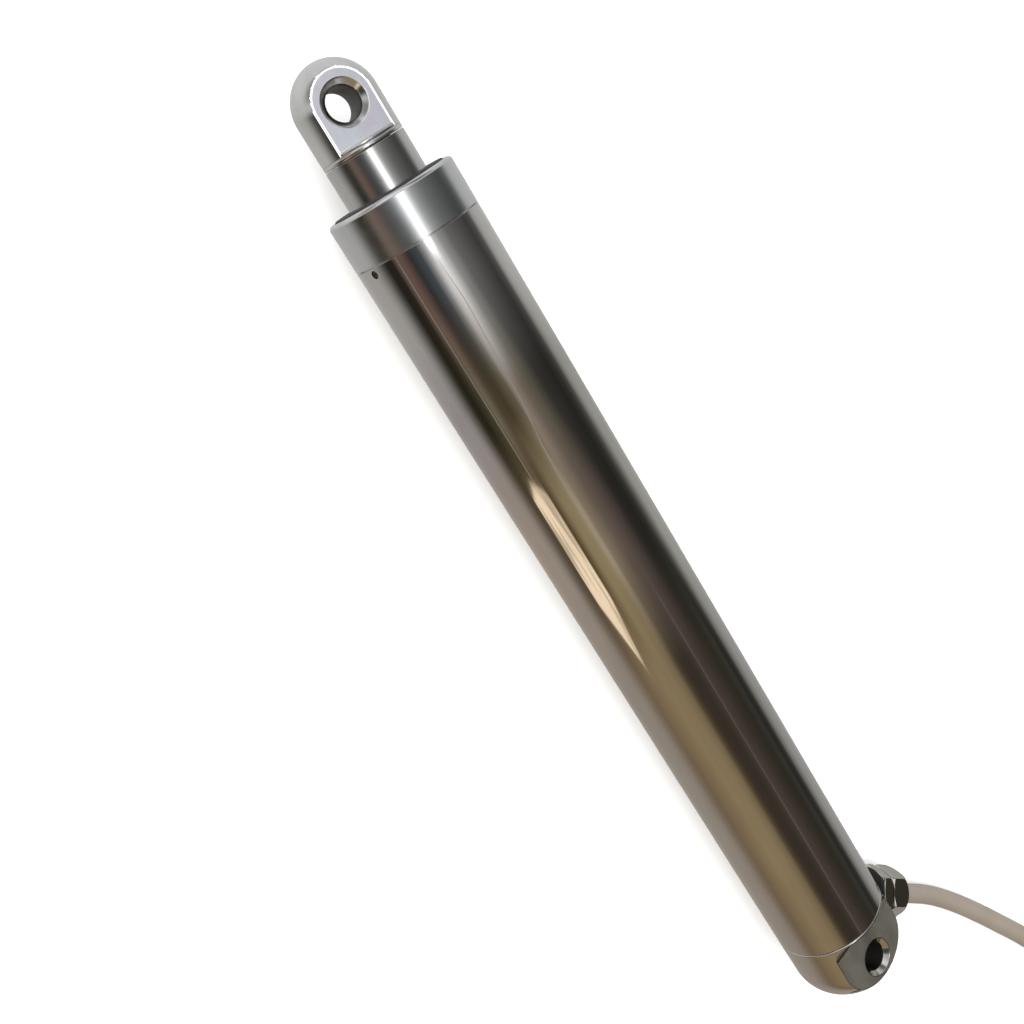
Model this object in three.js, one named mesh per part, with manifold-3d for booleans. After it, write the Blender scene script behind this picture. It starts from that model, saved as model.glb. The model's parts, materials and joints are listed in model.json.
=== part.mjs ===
// In-line tubular linear actuator, lying on a flat surface with its rod drawn in.
// Millimetres. +X runs along the axis towards the rod eye and +Z is up. The origin is under the middle of the body.
// The body's pieces are described by their distance in front of the rear seam, where the rear cap meets the tube.

import * as THREE from 'three';
import { mergeVertices } from 'three/addons/utils/BufferGeometryUtils.js';
import Module from 'manifold-3d';

const wasm = await Module();
wasm.setup();

// ---------------------------------------------------------------- driving dimensions

const TUBE_RADIUS = 17.5;
const TUBE_WALL = 1.5;
const TUBE_LENGTH = 236;
const CAP_REACH = 26.5; // rear seam to the tip of the rear cap
const COLLAR_REACH = 12.7; // front seam to the collar's front face
const EYE_REACH = 46.6; // front seam to the tip of the rod eye
const EYE_SEAM = 23.8; // front seam to the joint between the rod and its eye
const ROD_RADIUS = 11;
const ROD_WALL = 3.4;
const PIN_HOLE_RADIUS = 4.3;
const PIN_HOLE_CHAMFER = 1.4;
const EYE_HALF_THICKNESS = 8.1;
const CAP_HALF_THICKNESS = 11;
const CAP_FLAT_FILLET = 4; // where the rear cap's flats run out towards the seam
const EYE_HOLE_AT = 35; // in front of the front seam
const CAP_HOLE_AT = -16.4; // in front of the rear seam, so behind it
const EYE_TURN = 4; // degrees that the rod eye's flats lean from level
const BODY_TURN = 22.5; // degrees that the rear cap's flats lean from level
const GLAND_LEAN = 43; // degrees between the gland's axis and the body's axis
const GLAND_AT = 9.5; // where the gland's axis meets the body's axis
const GLAND_SEAT = 23.3; // along the gland's axis, to its seat in the rear cap
const SHANK_RADIUS = 5.2; // of the gland's thread
const CABLE_RADIUS = 3.15;
const GAP = 0.3; // between two pieces that touch

const BORE = TUBE_RADIUS - TUBE_WALL;
const FITTED = BORE - GAP; // outer radius of what slides into the tube
const ROD_BORE = ROD_RADIUS - ROD_WALL;
const ROD_CLEAR = ROD_RADIUS + GAP;
const REAR_SEAM_X = -(CAP_REACH + TUBE_LENGTH + EYE_REACH) / 2 + CAP_REACH;
const FRONT_SEAM = TUBE_LENGTH;

const SCREW_RADIUS = 5;
const NUT_BORE = SCREW_RADIUS + GAP;
const NUT_REAR = 120;
const NUT_FRONT = 136;
const NUT_RADIUS = 11.7;
const JOURNAL_FRONT = 148;
const SCREW_SHOULDER = 115.3;
const SCREW_TIP = 229;
const RAIL_RADIUS = 13.9; // inner radius of the rail and the switch strip
const RAIL_WIDTH = 3;
const STRIP_WIDTH = 7;

const BEARING_REAR = 110;
const BEARING_FRONT = 115;
const BEARING_PITCH = 8.65; // radius of the circle that the balls run on
const BALL_RADIUS = 1.6;
const BALL_COUNT = 8;

const GEAR_MODULE = 0.7;
const SUN_TEETH = 12;
const PLANET_TEETH = 12;
const RING_TEETH = 36;
const GEAR_REAR = 85.5;
const GEAR_FRONT = 94;
const PLANET_COUNT = 3;
const PLANET_ORBIT = (GEAR_MODULE * (SUN_TEETH + PLANET_TEETH)) / 2;
const PRESSURE_ANGLE = THREE.MathUtils.degToRad(20);
const TOOTH_THINNING = 0.09; // taken off each side of a tooth, so that the gears turn freely

const CAN_RADIUS = 14;
const CAN_REAR = 34;
const CAN_FRONT = 80;
const CORE_REAR = 44;
const CORE_FRONT = 68;
const CORE_RADIUS = 10.5;
const POLES = 5;
const SHAFT_RADIUS = 1.6;

const SIDES = 32; // of a piece that shows
const INNER_SIDES = 16; // of a piece inside the tube

// ---------------------------------------------------------------- materials

function metal(colour, roughness) {
  return new THREE.MeshStandardMaterial({ color: colour, roughness, metalness: 1 });
}

function plain(colour, roughness) {
  return new THREE.MeshStandardMaterial({ color: colour, roughness, metalness: 0 });
}

const POLISHED = metal(0xb9b6b2, 0.12);
const SATIN = metal(0xc9ccd0, 0.32);
const NICKEL = metal(0xb5a99c, 0.2);
const STEEL = metal(0x9a9c9f, 0.4);
const BRONZE = metal(0xa87b45, 0.4);
const COPPER = metal(0xb5653a, 0.35);
const MAGNET = plain(0x2b2b2e, 0.6);
const RUBBER = plain(0x151515, 0.7);
const NYLON = plain(0xd9d5c8, 0.5);
const BLACK_PLASTIC = plain(0x1d1e20, 0.5);
const BOARD = plain(0x1f5a3a, 0.5);
const CABLE_GREY = plain(0xa89c8a, 0.55);
const LEAD_BROWN = plain(0x5c3a22, 0.5);
const LEAD_BLUE = plain(0x2a4f8f, 0.5);

// ---------------------------------------------------------------- shape helpers

function positionsOnly(geometry) {
  const bare = geometry.clone();
  bare.deleteAttribute('normal');
  bare.deleteAttribute('uv');
  return mergeVertices(bare, 1e-4);
}

// The triangles of a merged geometry, without those that have shrunk to a line.
function trianglesOf(geometry) {
  const index = geometry.index.array;
  const kept = [];
  for (let i = 0; i < index.length; i += 3) {
    const [a, b, c] = index.slice(i, i + 3);
    if (a !== b && b !== c && c !== a) {
      kept.push(a, b, c);
    }
  }
  return kept;
}

function signedVolume(points, triangles) {
  const [a, b, c] = [new THREE.Vector3(), new THREE.Vector3(), new THREE.Vector3()];
  let sum = 0;
  for (let i = 0; i < triangles.length; i += 3) {
    a.fromArray(points, triangles[i] * 3);
    b.fromArray(points, triangles[i + 1] * 3);
    c.fromArray(points, triangles[i + 2] * 3);
    sum += a.dot(b.cross(c)) / 6;
  }
  return sum;
}

function toManifold(geometry) {
  const merged = positionsOnly(geometry);
  const points = merged.attributes.position.array;
  const triangles = trianglesOf(merged);
  if (signedVolume(points, triangles) < 0) {
    triangles.reverse();
  }
  return new wasm.Manifold(new wasm.Mesh({
    numProp: 3,
    vertProperties: Float32Array.from(points),
    triVerts: Uint32Array.from(triangles),
  }));
}

function fromManifold(manifold) {
  const { vertProperties, triVerts } = manifold.getMesh();
  const geometry = new THREE.BufferGeometry();
  geometry.setAttribute('position', new THREE.BufferAttribute(vertProperties, 3));
  geometry.setIndex(new THREE.BufferAttribute(triVerts, 1));
  return geometry;
}

function join(first, ...others) {
  return fromManifold(others.reduce((sum, other) => sum.add(toManifold(other)), toManifold(first)));
}

function cut(first, ...others) {
  return fromManifold(others.reduce((rest, other) => rest.subtract(toManifold(other)), toManifold(first)));
}

// A round piece about the X axis, from its outline as [x, radius] pairs.
function turned(outline, sides = INNER_SIDES) {
  const profile = outline.map(([x, radius]) => new THREE.Vector2(radius, x));
  profile.push(profile[0].clone());
  return new THREE.LatheGeometry(profile, sides).rotateZ(-Math.PI / 2);
}

function bar(from, to, radius, sides = INNER_SIDES) {
  return turned([[from, 0], [from, radius], [to, radius], [to, 0]], sides);
}

function ring(from, to, inner, outer, sides = INNER_SIDES) {
  return turned([[from, inner], [from, outer], [to, outer], [to, inner]], sides);
}

function block(from, to, [y, z], width, height) {
  return new THREE.BoxGeometry(to - from, width, height).translate((from + to) / 2, y, z);
}

// A prism along X, from its outline as [y, z] pairs.
function prism(outline, from, to) {
  const shape = new THREE.Shape(outline.map(([y, z]) => new THREE.Vector2(y, z)));
  const geometry = new THREE.ExtrudeGeometry(shape, { depth: to - from, bevelEnabled: false });
  const turn = new THREE.Matrix4().makeBasis(
    new THREE.Vector3(0, 1, 0),
    new THREE.Vector3(0, 0, 1),
    new THREE.Vector3(1, 0, 0),
  );
  return geometry.applyMatrix4(turn).translate(from, 0, 0);
}

function hexagon(from, to, acrossFlats) {
  const corner = acrossFlats / Math.sqrt(3);
  const outline = [];
  for (let i = 0; i < 6; i += 1) {
    const angle = (i * Math.PI) / 3;
    outline.push([corner * Math.cos(angle), corner * Math.sin(angle)]);
  }
  return prism(outline, from, to);
}

// Points on a quarter of an ellipse, from [x, radius + high] to [x + long, radius], as [x, radius] pairs.
function quarter(x, long, radius, high, steps) {
  const points = [];
  for (let i = 0; i <= steps; i += 1) {
    const angle = (i / steps) * (Math.PI / 2);
    points.push([x + long * Math.sin(angle), radius + high * Math.cos(angle)]);
  }
  return points;
}

// A pin hole along Z with a chamfer at each flat.
function pinHole(x, halfThickness) {
  const wide = PIN_HOLE_RADIUS + PIN_HOLE_CHAMFER;
  const beyond = 1;
  const outline = [
    [-halfThickness - beyond, 0],
    [-halfThickness - beyond, wide + beyond],
    [-halfThickness + PIN_HOLE_CHAMFER, PIN_HOLE_RADIUS],
    [halfThickness - PIN_HOLE_CHAMFER, PIN_HOLE_RADIUS],
    [halfThickness + beyond, wide + beyond],
    [halfThickness + beyond, 0],
  ];
  return turned(outline, 24).rotateY(-Math.PI / 2).translate(x, 0, 0);
}

// The two prisms that leave a round end with a pair of flats, filleted where they stop at the given end.
function flatCutters(from, to, halfThickness, fillet) {
  const tall = 20;
  const wide = 50;
  const side = Math.sign(to - from);
  const profile = new THREE.Shape();
  profile.moveTo(from, halfThickness + tall);
  profile.lineTo(from, halfThickness);
  profile.lineTo(to - side * fillet, halfThickness);
  for (const [x, rise] of quarter(0, fillet, 0, fillet, 5)) {
    profile.lineTo(to - side * (fillet - x), halfThickness + fillet - rise);
  }
  profile.lineTo(to, halfThickness + tall);
  const upper = new THREE.ExtrudeGeometry(profile, { depth: wide, bevelEnabled: false })
    .translate(0, 0, -wide / 2)
    .rotateX(Math.PI / 2);
  return [upper, upper.clone().rotateX(Math.PI)];
}

// ---------------------------------------------------------------- nested groups

const actuator = new THREE.Group();

function groupIn(parent) {
  const group = new THREE.Group();
  parent.add(group);
  return group;
}

const body = groupIn(actuator);
body.position.set(REAR_SEAM_X, 0, TUBE_RADIUS);

const turnedBody = groupIn(body); // level with the rear cap's flats
turnedBody.rotation.x = THREE.MathUtils.degToRad(BODY_TURN);

const turnedEye = groupIn(body);
turnedEye.rotation.x = THREE.MathUtils.degToRad(EYE_TURN);

const gland = groupIn(turnedBody); // +X out along the gland, from where its axis meets the body's axis
gland.position.x = GLAND_AT;
gland.rotation.z = Math.PI + THREE.MathUtils.degToRad(GLAND_LEAN);

function add(parent, name, geometry, material) {
  const solid = fromManifold(toManifold(geometry));
  solid.computeVertexNormals();
  const mesh = new THREE.Mesh(solid, material);
  mesh.name = name;
  parent.add(mesh);
}

// ---------------------------------------------------------------- tube, collar and rear cap

const FIXING_RADIUS = 1;
const FIXING_INNER = 14;
const FRONT_FIXING_AT = FRONT_SEAM - 1.7;
const FRONT_FIXING_ANGLE = 30; // from +Y towards +Z
const REAR_FIXING_AT = 6;
const REAR_FIXING_ANGLE = 210;
const COLLAR_FACE = FRONT_SEAM + COLLAR_REACH;
const SPIGOT_LENGTH = 14; // of the collar and of the rear cap, inside the tube
const O_RING_GROOVE = 2.2; // wide
const O_RING_DEPTH = 1.2; // of the groove
const O_RING_WIDTH = 1.6;
const CAP_GROOVE_REAR = 9;
const COLLAR_GROOVE_REAR = 229;
const BUSH_SEAT = 13.4; // inner radius of the collar round the guide bush
const BUSH_SHOULDER = FRONT_SEAM + 2;
const WIPER_SEAT_DEPTH = 4;
const WIPER_SEAT_RADIUS = 15.6;
const WIPER_STANDS_OUT = 0.6;
const SEAL_SEAT_FROM = COLLAR_FACE - 9;
const SEAL_SEAT_TO = COLLAR_FACE - 6;
const SEAL_SEAT_RADIUS = 14;
const CAP_SPIGOT_BORE = 12;
const GLAND_SEAT_RADIUS = 9;

// A short radial bar through the tube's wall, at x and an angle from +Y towards +Z.
function radialBar(x, degrees, inner, outer, radius) {
  return bar(inner, outer, radius, 10)
    .rotateZ(Math.PI / 2)
    .rotateX(THREE.MathUtils.degToRad(degrees))
    .translate(x, 0, 0);
}

function fixingHole(x, degrees) {
  return radialBar(x, degrees, FIXING_INNER, TUBE_RADIUS + 1, FIXING_RADIUS + 0.2);
}

function outerTube() {
  const edge = 0.4;
  const shell = turned([
    [GAP, BORE],
    [GAP, TUBE_RADIUS - edge],
    [GAP + edge, TUBE_RADIUS],
    [FRONT_SEAM - GAP - edge, TUBE_RADIUS],
    [FRONT_SEAM - GAP, TUBE_RADIUS - edge],
    [FRONT_SEAM - GAP, BORE],
  ], SIDES);
  const frontHole = fixingHole(FRONT_FIXING_AT, FRONT_FIXING_ANGLE);
  return cut(shell, frontHole, fixingHole(REAR_FIXING_AT, REAR_FIXING_ANGLE));
}

function frontCollar() {
  const front = COLLAR_FACE;
  const spigotRear = FRONT_SEAM - SPIGOT_LENGTH;
  const grooveFront = COLLAR_GROOVE_REAR + O_RING_GROOVE;
  const edge = 1.4;
  const bore = ROD_CLEAR + 0.2;
  const outline = [
    [spigotRear, BUSH_SEAT],
    [spigotRear, FITTED],
    [COLLAR_GROOVE_REAR, FITTED],
    [COLLAR_GROOVE_REAR, FITTED - O_RING_DEPTH],
    [grooveFront, FITTED - O_RING_DEPTH],
    [grooveFront, FITTED],
    [FRONT_SEAM, FITTED],
    [FRONT_SEAM, TUBE_RADIUS],
    ...quarter(front - edge, edge, TUBE_RADIUS - edge, edge, 4),
    [front, WIPER_SEAT_RADIUS],
    [front - WIPER_SEAT_DEPTH, WIPER_SEAT_RADIUS],
    [front - WIPER_SEAT_DEPTH, bore],
    [SEAL_SEAT_TO, bore],
    [SEAL_SEAT_TO, SEAL_SEAT_RADIUS],
    [SEAL_SEAT_FROM, SEAL_SEAT_RADIUS],
    [SEAL_SEAT_FROM, bore],
    [BUSH_SHOULDER, bore],
    [BUSH_SHOULDER, BUSH_SEAT],
  ];
  return cut(turned(outline, SIDES), fixingHole(FRONT_FIXING_AT, FRONT_FIXING_ANGLE));
}

// An O-ring in the groove that starts at x.
function oRing(x) {
  return ring(x + GAP, x + GAP + O_RING_WIDTH, FITTED - O_RING_DEPTH + GAP, BORE - 0.2);
}

function fixingPin(x, degrees) {
  return radialBar(x, degrees, FIXING_INNER + GAP, TUBE_RADIUS - 0.1, FIXING_RADIUS);
}

function rearCap() {
  const straight = 12; // from the seam to where the dome starts
  const dome = quarter(straight, CAP_REACH - straight, 0, TUBE_RADIUS, 6)
    .reverse()
    .slice(1)
    .map(([x, radius]) => [-x, radius]);
  const grooveFront = CAP_GROOVE_REAR + O_RING_GROOVE;
  const pocketRadius = 7; // of the room for the cable's inner leads
  const pocketRear = -5;
  const outline = [
    [-CAP_REACH, 0],
    ...dome,
    [0, TUBE_RADIUS],
    [0, FITTED],
    [CAP_GROOVE_REAR, FITTED],
    [CAP_GROOVE_REAR, FITTED - O_RING_DEPTH],
    [grooveFront, FITTED - O_RING_DEPTH],
    [grooveFront, FITTED],
    [SPIGOT_LENGTH, FITTED],
    [SPIGOT_LENGTH, CAP_SPIGOT_BORE],
    [1, CAP_SPIGOT_BORE],
    [1, pocketRadius],
    [pocketRear, pocketRadius],
    [pocketRear, 0],
  ];
  const rim = 0.6; // left round between the flats and the seam
  const flats = flatCutters(-CAP_REACH - 1, -rim, CAP_HALF_THICKNESS, CAP_FLAT_FILLET);
  const glandBore = bar(10, GLAND_SEAT + 7, SHANK_RADIUS + GAP);
  const glandSeat = bar(GLAND_SEAT, GLAND_SEAT + 17, GLAND_SEAT_RADIUS);
  const drilled = [glandBore, glandSeat].map((tool) => tool
    .rotateZ(Math.PI + THREE.MathUtils.degToRad(GLAND_LEAN))
    .translate(GLAND_AT, 0, 0));
  const fixing = fixingHole(REAR_FIXING_AT, REAR_FIXING_ANGLE - BODY_TURN);
  const pin = pinHole(CAP_HOLE_AT, CAP_HALF_THICKNESS);
  return cut(turned(outline, SIDES), ...flats, pin, ...drilled, fixing);
}

function wiperRing() {
  const rear = COLLAR_FACE - WIPER_SEAT_DEPTH + GAP;
  return ring(rear, COLLAR_FACE + WIPER_STANDS_OUT, ROD_CLEAR, WIPER_SEAT_RADIUS - GAP, SIDES);
}

function rodSeal() {
  return ring(SEAL_SEAT_FROM + GAP, SEAL_SEAT_TO - GAP, ROD_CLEAR, SEAL_SEAT_RADIUS - GAP);
}

function guideBush() {
  return ring(FRONT_SEAM - SPIGOT_LENGTH + GAP, BUSH_SHOULDER - GAP, ROD_CLEAR, BUSH_SEAT - GAP);
}

add(body, 'outer_tube', outerTube(), POLISHED);
add(body, 'front_collar', frontCollar(), SATIN);
add(body, 'wiper_ring', wiperRing(), RUBBER);
add(body, 'rod_seal', rodSeal(), RUBBER);
add(body, 'guide_bush', guideBush(), BRONZE);
add(body, 'collar_o_ring', oRing(COLLAR_GROOVE_REAR), RUBBER);
add(turnedBody, 'rear_cap', rearCap(), POLISHED);
add(body, 'cap_o_ring', oRing(CAP_GROOVE_REAR), RUBBER);
add(body, 'collar_pin', fixingPin(FRONT_FIXING_AT, FRONT_FIXING_ANGLE), STEEL);
add(body, 'cap_pin', fixingPin(REAR_FIXING_AT, REAR_FIXING_ANGLE), STEEL);

// ---------------------------------------------------------------- rod, nut and screw

const EYE_SPIGOT = 12; // long, inside the rod
const CIRCLIP_GROOVE_REAR = JOURNAL_FRONT - 3;
const CIRCLIP_GROOVE_FRONT = JOURNAL_FRONT - 1.4;
const CIRCLIP_SEAT = 6.5; // radius of the groove in the nut
const CIRCLIP_ROOM = 0.9; // depth of the groove in the rod's bore
const SCREW_JOURNAL = 3.9; // radius
const STUD_RADIUS = 1.9; // of the end stop
const STUD_LENGTH = 7;

function rodEye() {
  const rear = FRONT_SEAM + EYE_SEAM;
  const tip = FRONT_SEAM + EYE_REACH;
  const outline = [
    [rear - EYE_SPIGOT, 0],
    [rear - EYE_SPIGOT, ROD_BORE - GAP],
    [rear, ROD_BORE - GAP],
    [rear, ROD_RADIUS],
    ...quarter(tip - ROD_RADIUS, ROD_RADIUS, 0, ROD_RADIUS, 6),
  ];
  const hole = pinHole(FRONT_SEAM + EYE_HOLE_AT, EYE_HALF_THICKNESS);
  const neck = 1.8; // left round between the rod and the flats
  const fillet = 0.4;
  const flats = flatCutters(tip + 1, rear + neck, EYE_HALF_THICKNESS, fillet);
  return cut(turned(outline, SIDES), ...flats, hole);
}

function driveNut() {
  const outline = [
    [NUT_REAR, NUT_BORE],
    [NUT_REAR, NUT_RADIUS],
    [NUT_FRONT, NUT_RADIUS],
    [NUT_FRONT, ROD_BORE - GAP],
    [CIRCLIP_GROOVE_REAR, ROD_BORE - GAP],
    [CIRCLIP_GROOVE_REAR, CIRCLIP_SEAT],
    [CIRCLIP_GROOVE_FRONT, CIRCLIP_SEAT],
    [CIRCLIP_GROOVE_FRONT, ROD_BORE - GAP],
    [JOURNAL_FRONT, ROD_BORE - GAP],
    [JOURNAL_FRONT, NUT_BORE],
  ];
  return turned(outline);
}

// The rod, with an inner groove for the ring that holds it on the nut's journal.
function rodTube() {
  const front = FRONT_SEAM + EYE_SEAM - GAP;
  const outline = [
    [NUT_FRONT + GAP, ROD_BORE],
    [NUT_FRONT + GAP, ROD_RADIUS],
    [front, ROD_RADIUS],
    [front, ROD_BORE],
    [CIRCLIP_GROOVE_FRONT, ROD_BORE],
    [CIRCLIP_GROOVE_FRONT, ROD_BORE + CIRCLIP_ROOM],
    [CIRCLIP_GROOVE_REAR, ROD_BORE + CIRCLIP_ROOM],
    [CIRCLIP_GROOVE_REAR, ROD_BORE],
  ];
  return turned(outline, SIDES);
}

function rodCirclip() {
  const from = CIRCLIP_GROOVE_REAR + GAP;
  return ring(from, CIRCLIP_GROOVE_FRONT - GAP, CIRCLIP_SEAT + GAP, ROD_BORE + CIRCLIP_ROOM - GAP);
}

// A ring pinned to the nut, with a notch for the rail and another for the switch strip.
function guideRing() {
  const round = ring(NUT_REAR + 1, NUT_FRONT - 1, NUT_RADIUS + GAP, FITTED - 0.1);
  const notchDepth = 4;
  const notchMiddle = RAIL_RADIUS - 0.4 + notchDepth / 2;
  const railNotch = block(NUT_REAR, NUT_FRONT, [notchMiddle, 0], notchDepth, RAIL_WIDTH + 1);
  const stripNotch = block(NUT_REAR, NUT_FRONT, [-notchMiddle, 0], notchDepth, STRIP_WIDTH + 1);
  return cut(round, railNotch, stripNotch);
}

function leadScrew() {
  const rear = 106;
  const shoulder = 7; // radius
  const studHole = STUD_RADIUS + GAP;
  return turned([
    [rear, 0],
    [rear, SCREW_JOURNAL],
    [SCREW_SHOULDER, SCREW_JOURNAL],
    [SCREW_SHOULDER, shoulder],
    [SCREW_SHOULDER + 2, shoulder],
    [SCREW_SHOULDER + 2, SCREW_RADIUS],
    [SCREW_TIP, SCREW_RADIUS],
    [SCREW_TIP, studHole],
    [SCREW_TIP - STUD_LENGTH - 1, studHole],
    [SCREW_TIP - STUD_LENGTH - 1, 0],
  ]);
}

// A washer on the screw's tip, held by its own short stud.
function screwEndStop() {
  const washer = 6.8; // radius
  const head = 3.5;
  return turned([
    [SCREW_TIP - STUD_LENGTH, 0],
    [SCREW_TIP - STUD_LENGTH, STUD_RADIUS],
    [SCREW_TIP + GAP, STUD_RADIUS],
    [SCREW_TIP + GAP, washer],
    [SCREW_TIP + 2.3, washer],
    [SCREW_TIP + 2.3, head],
    [SCREW_TIP + 4.5, head],
    [SCREW_TIP + 4.5, 0],
  ]);
}

const RAIL_REAR = 116.4;
const RAIL_FRONT = 221.6;
const RAIL_HEIGHT = 1.5;
const STRIP_RADIUS = 14.7;
const STRIP_THICKNESS = 0.8;
const SWITCH_LENGTH = 3;
const REAR_SWITCH_REACH = 9.5; // inner radius
const FRONT_SWITCH_REACH = 11.9;

function guideRail() {
  return block(RAIL_REAR, RAIL_FRONT, [RAIL_RADIUS + RAIL_HEIGHT / 2, 0], RAIL_HEIGHT, RAIL_WIDTH);
}

function switchStrip() {
  return block(RAIL_REAR, RAIL_FRONT, [-STRIP_RADIUS, 0], STRIP_THICKNESS, STRIP_WIDTH - 1);
}

// A switch on the strip, reaching in to the given radius.
function limitSwitch(from, innerRadius) {
  const outerRadius = STRIP_RADIUS - STRIP_THICKNESS / 2 - GAP;
  const middle = (innerRadius + outerRadius) / 2;
  return block(from, from + SWITCH_LENGTH, [-middle, 0], outerRadius - innerRadius, STRIP_WIDTH - 1);
}

add(turnedEye, 'rod_eye', rodEye(), SATIN);
add(body, 'rod_tube', rodTube(), POLISHED);
add(body, 'rod_circlip', rodCirclip(), STEEL);
add(body, 'drive_nut', driveNut(), BRONZE);
add(turnedBody, 'guide_ring', guideRing(), NYLON);
add(turnedBody, 'guide_rail', guideRail(), STEEL);
add(turnedBody, 'switch_strip', switchStrip(), BOARD);
add(turnedBody, 'rear_limit_switch', limitSwitch(RAIL_REAR, REAR_SWITCH_REACH), BLACK_PLASTIC);
const frontSwitch = limitSwitch(RAIL_FRONT - SWITCH_LENGTH, FRONT_SWITCH_REACH);
add(turnedBody, 'front_limit_switch', frontSwitch, BLACK_PLASTIC);
add(body, 'lead_screw', leadScrew(), STEEL);
add(body, 'screw_end_stop', screwEndStop(), STEEL);

// ---------------------------------------------------------------- bearing

const HOUSING_REAR = 100.3;
const OUTER_RACE = 12.9; // outer radius
const OUTER_TRACK = 10.2; // radius of the outer race beside its groove
const INNER_TRACK = 7.1;
const INNER_RACE = SCREW_JOURNAL + GAP; // inner radius
const TRACK_DEPTH = 0.5;

function bearingHousing() {
  const rearBore = 9.5;
  const frontBore = 9.9;
  const seat = OUTER_RACE + GAP;
  const front = BEARING_FRONT + 1;
  return turned([
    [HOUSING_REAR, rearBore],
    [HOUSING_REAR, FITTED],
    [front, FITTED],
    [front, frontBore],
    [BEARING_FRONT + GAP, frontBore],
    [BEARING_FRONT + GAP, seat],
    [BEARING_REAR - GAP, seat],
    [BEARING_REAR - GAP, rearBore],
  ]);
}

// A bearing race with a shallow round groove, facing outward or inward.
function race(inner, outer, grooveRadius, grooveDepth) {
  const middle = (BEARING_REAR + BEARING_FRONT) / 2;
  const half = 1.3; // of the groove's width
  const groove = [
    [middle + half, grooveRadius],
    [middle, grooveRadius + grooveDepth],
    [middle - half, grooveRadius],
  ];
  const far = grooveDepth > 0 ? outer : inner;
  return turned([[BEARING_REAR, grooveRadius], [BEARING_REAR, far], [BEARING_FRONT, far],
    [BEARING_FRONT, grooveRadius], ...groove]);
}

function ballCage() {
  const middle = (BEARING_REAR + BEARING_FRONT) / 2;
  const half = 0.6; // of the cage's thickness
  const hoop = ring(middle - half, middle + half, BEARING_PITCH - half, BEARING_PITCH + half);
  const balls = [];
  for (let i = 0; i < BALL_COUNT; i += 1) {
    const angle = (i / BALL_COUNT) * 2 * Math.PI;
    const ball = new THREE.SphereGeometry(BALL_RADIUS, 6, 4);
    balls.push(ball.translate(middle, BEARING_PITCH * Math.cos(angle), BEARING_PITCH * Math.sin(angle)));
  }
  return join(hoop, ...balls);
}

add(body, 'bearing_housing', bearingHousing(), STEEL);
add(body, 'bearing_outer_race', race(OUTER_TRACK, OUTER_RACE, OUTER_TRACK, TRACK_DEPTH), STEEL);
add(body, 'bearing_inner_race', race(INNER_RACE, INNER_TRACK, INNER_TRACK, -TRACK_DEPTH), STEEL);
add(body, 'bearing_balls', ballCage(), STEEL);

// ---------------------------------------------------------------- planetary gearbox

const ADDENDUM = 0.8; // of a tooth's tip beyond the pitch circle, in modules
const RING_PHASE = 5; // degrees, half of the ring gear's tooth pitch
const PLANET_PIN = 1.5; // radius
const PLATE_REAR = CAN_FRONT + GAP;
const PLATE_FRONT = 83.7;
const PLATE_BORE = 3;
const COVER_REAR = GEAR_FRONT + 3.3;
const COVER_FRONT = HOUSING_REAR - GAP;
const SHAFT_HOLE = SCREW_JOURNAL + 0.4;
const COUPLING_REAR = 101;
const COUPLING_FRONT = 109;
const COUPLING_RADIUS = 8;

function involute(angle) {
  return Math.tan(angle) - angle;
}

// Half of a tooth's width at a radius, as an angle, on a gear with involute teeth.
function toothHalfAngle(teeth, radius, thinning) {
  const pitch = (GEAR_MODULE * teeth) / 2;
  const base = pitch * Math.cos(PRESSURE_ANGLE);
  const slope = radius > base ? Math.acos(base / radius) : 0;
  return Math.PI / (2 * teeth) - thinning / pitch + involute(PRESSURE_ANGLE) - involute(slope);
}

// A gear's outline as [y, z] pairs, with one tooth centred at the phase angle from +Y towards +Z.
function gearOutline(teeth, rootRadius, tipRadius, thinning, phaseDegrees) {
  const pitch = (GEAR_MODULE * teeth) / 2;
  const radii = [rootRadius, pitch, tipRadius];
  const outline = [];
  for (let i = 0; i < teeth; i += 1) {
    const middle = THREE.MathUtils.degToRad(phaseDegrees) + (i / teeth) * 2 * Math.PI;
    const rising = radii.map((radius) => [radius, middle - toothHalfAngle(teeth, radius, thinning)]);
    const falling = radii.map((radius) => [radius, middle + toothHalfAngle(teeth, radius, thinning)]).reverse();
    for (const [radius, angle] of [...rising, ...falling]) {
      outline.push([radius * Math.cos(angle), radius * Math.sin(angle)]);
    }
  }
  return outline;
}

function gear(teeth, phaseDegrees, boreRadius) {
  const pitch = (GEAR_MODULE * teeth) / 2;
  const tip = pitch + ADDENDUM * GEAR_MODULE;
  const outline = gearOutline(teeth, pitch - GEAR_MODULE, tip, TOOTH_THINNING, phaseDegrees);
  return cut(prism(outline, GEAR_REAR, GEAR_FRONT), bar(GEAR_REAR - 1, GEAR_FRONT + 1, boreRadius, INNER_SIDES));
}

function ringGear() {
  const pitch = (GEAR_MODULE * RING_TEETH) / 2;
  const tip = pitch - ADDENDUM * GEAR_MODULE;
  const spaces = gearOutline(RING_TEETH, tip, pitch + GEAR_MODULE, -TOOTH_THINNING, RING_PHASE);
  return cut(bar(GEAR_REAR - 1.5, GEAR_FRONT + 3, FITTED), prism(spaces, GEAR_REAR - 3, GEAR_FRONT + 5));
}

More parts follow.
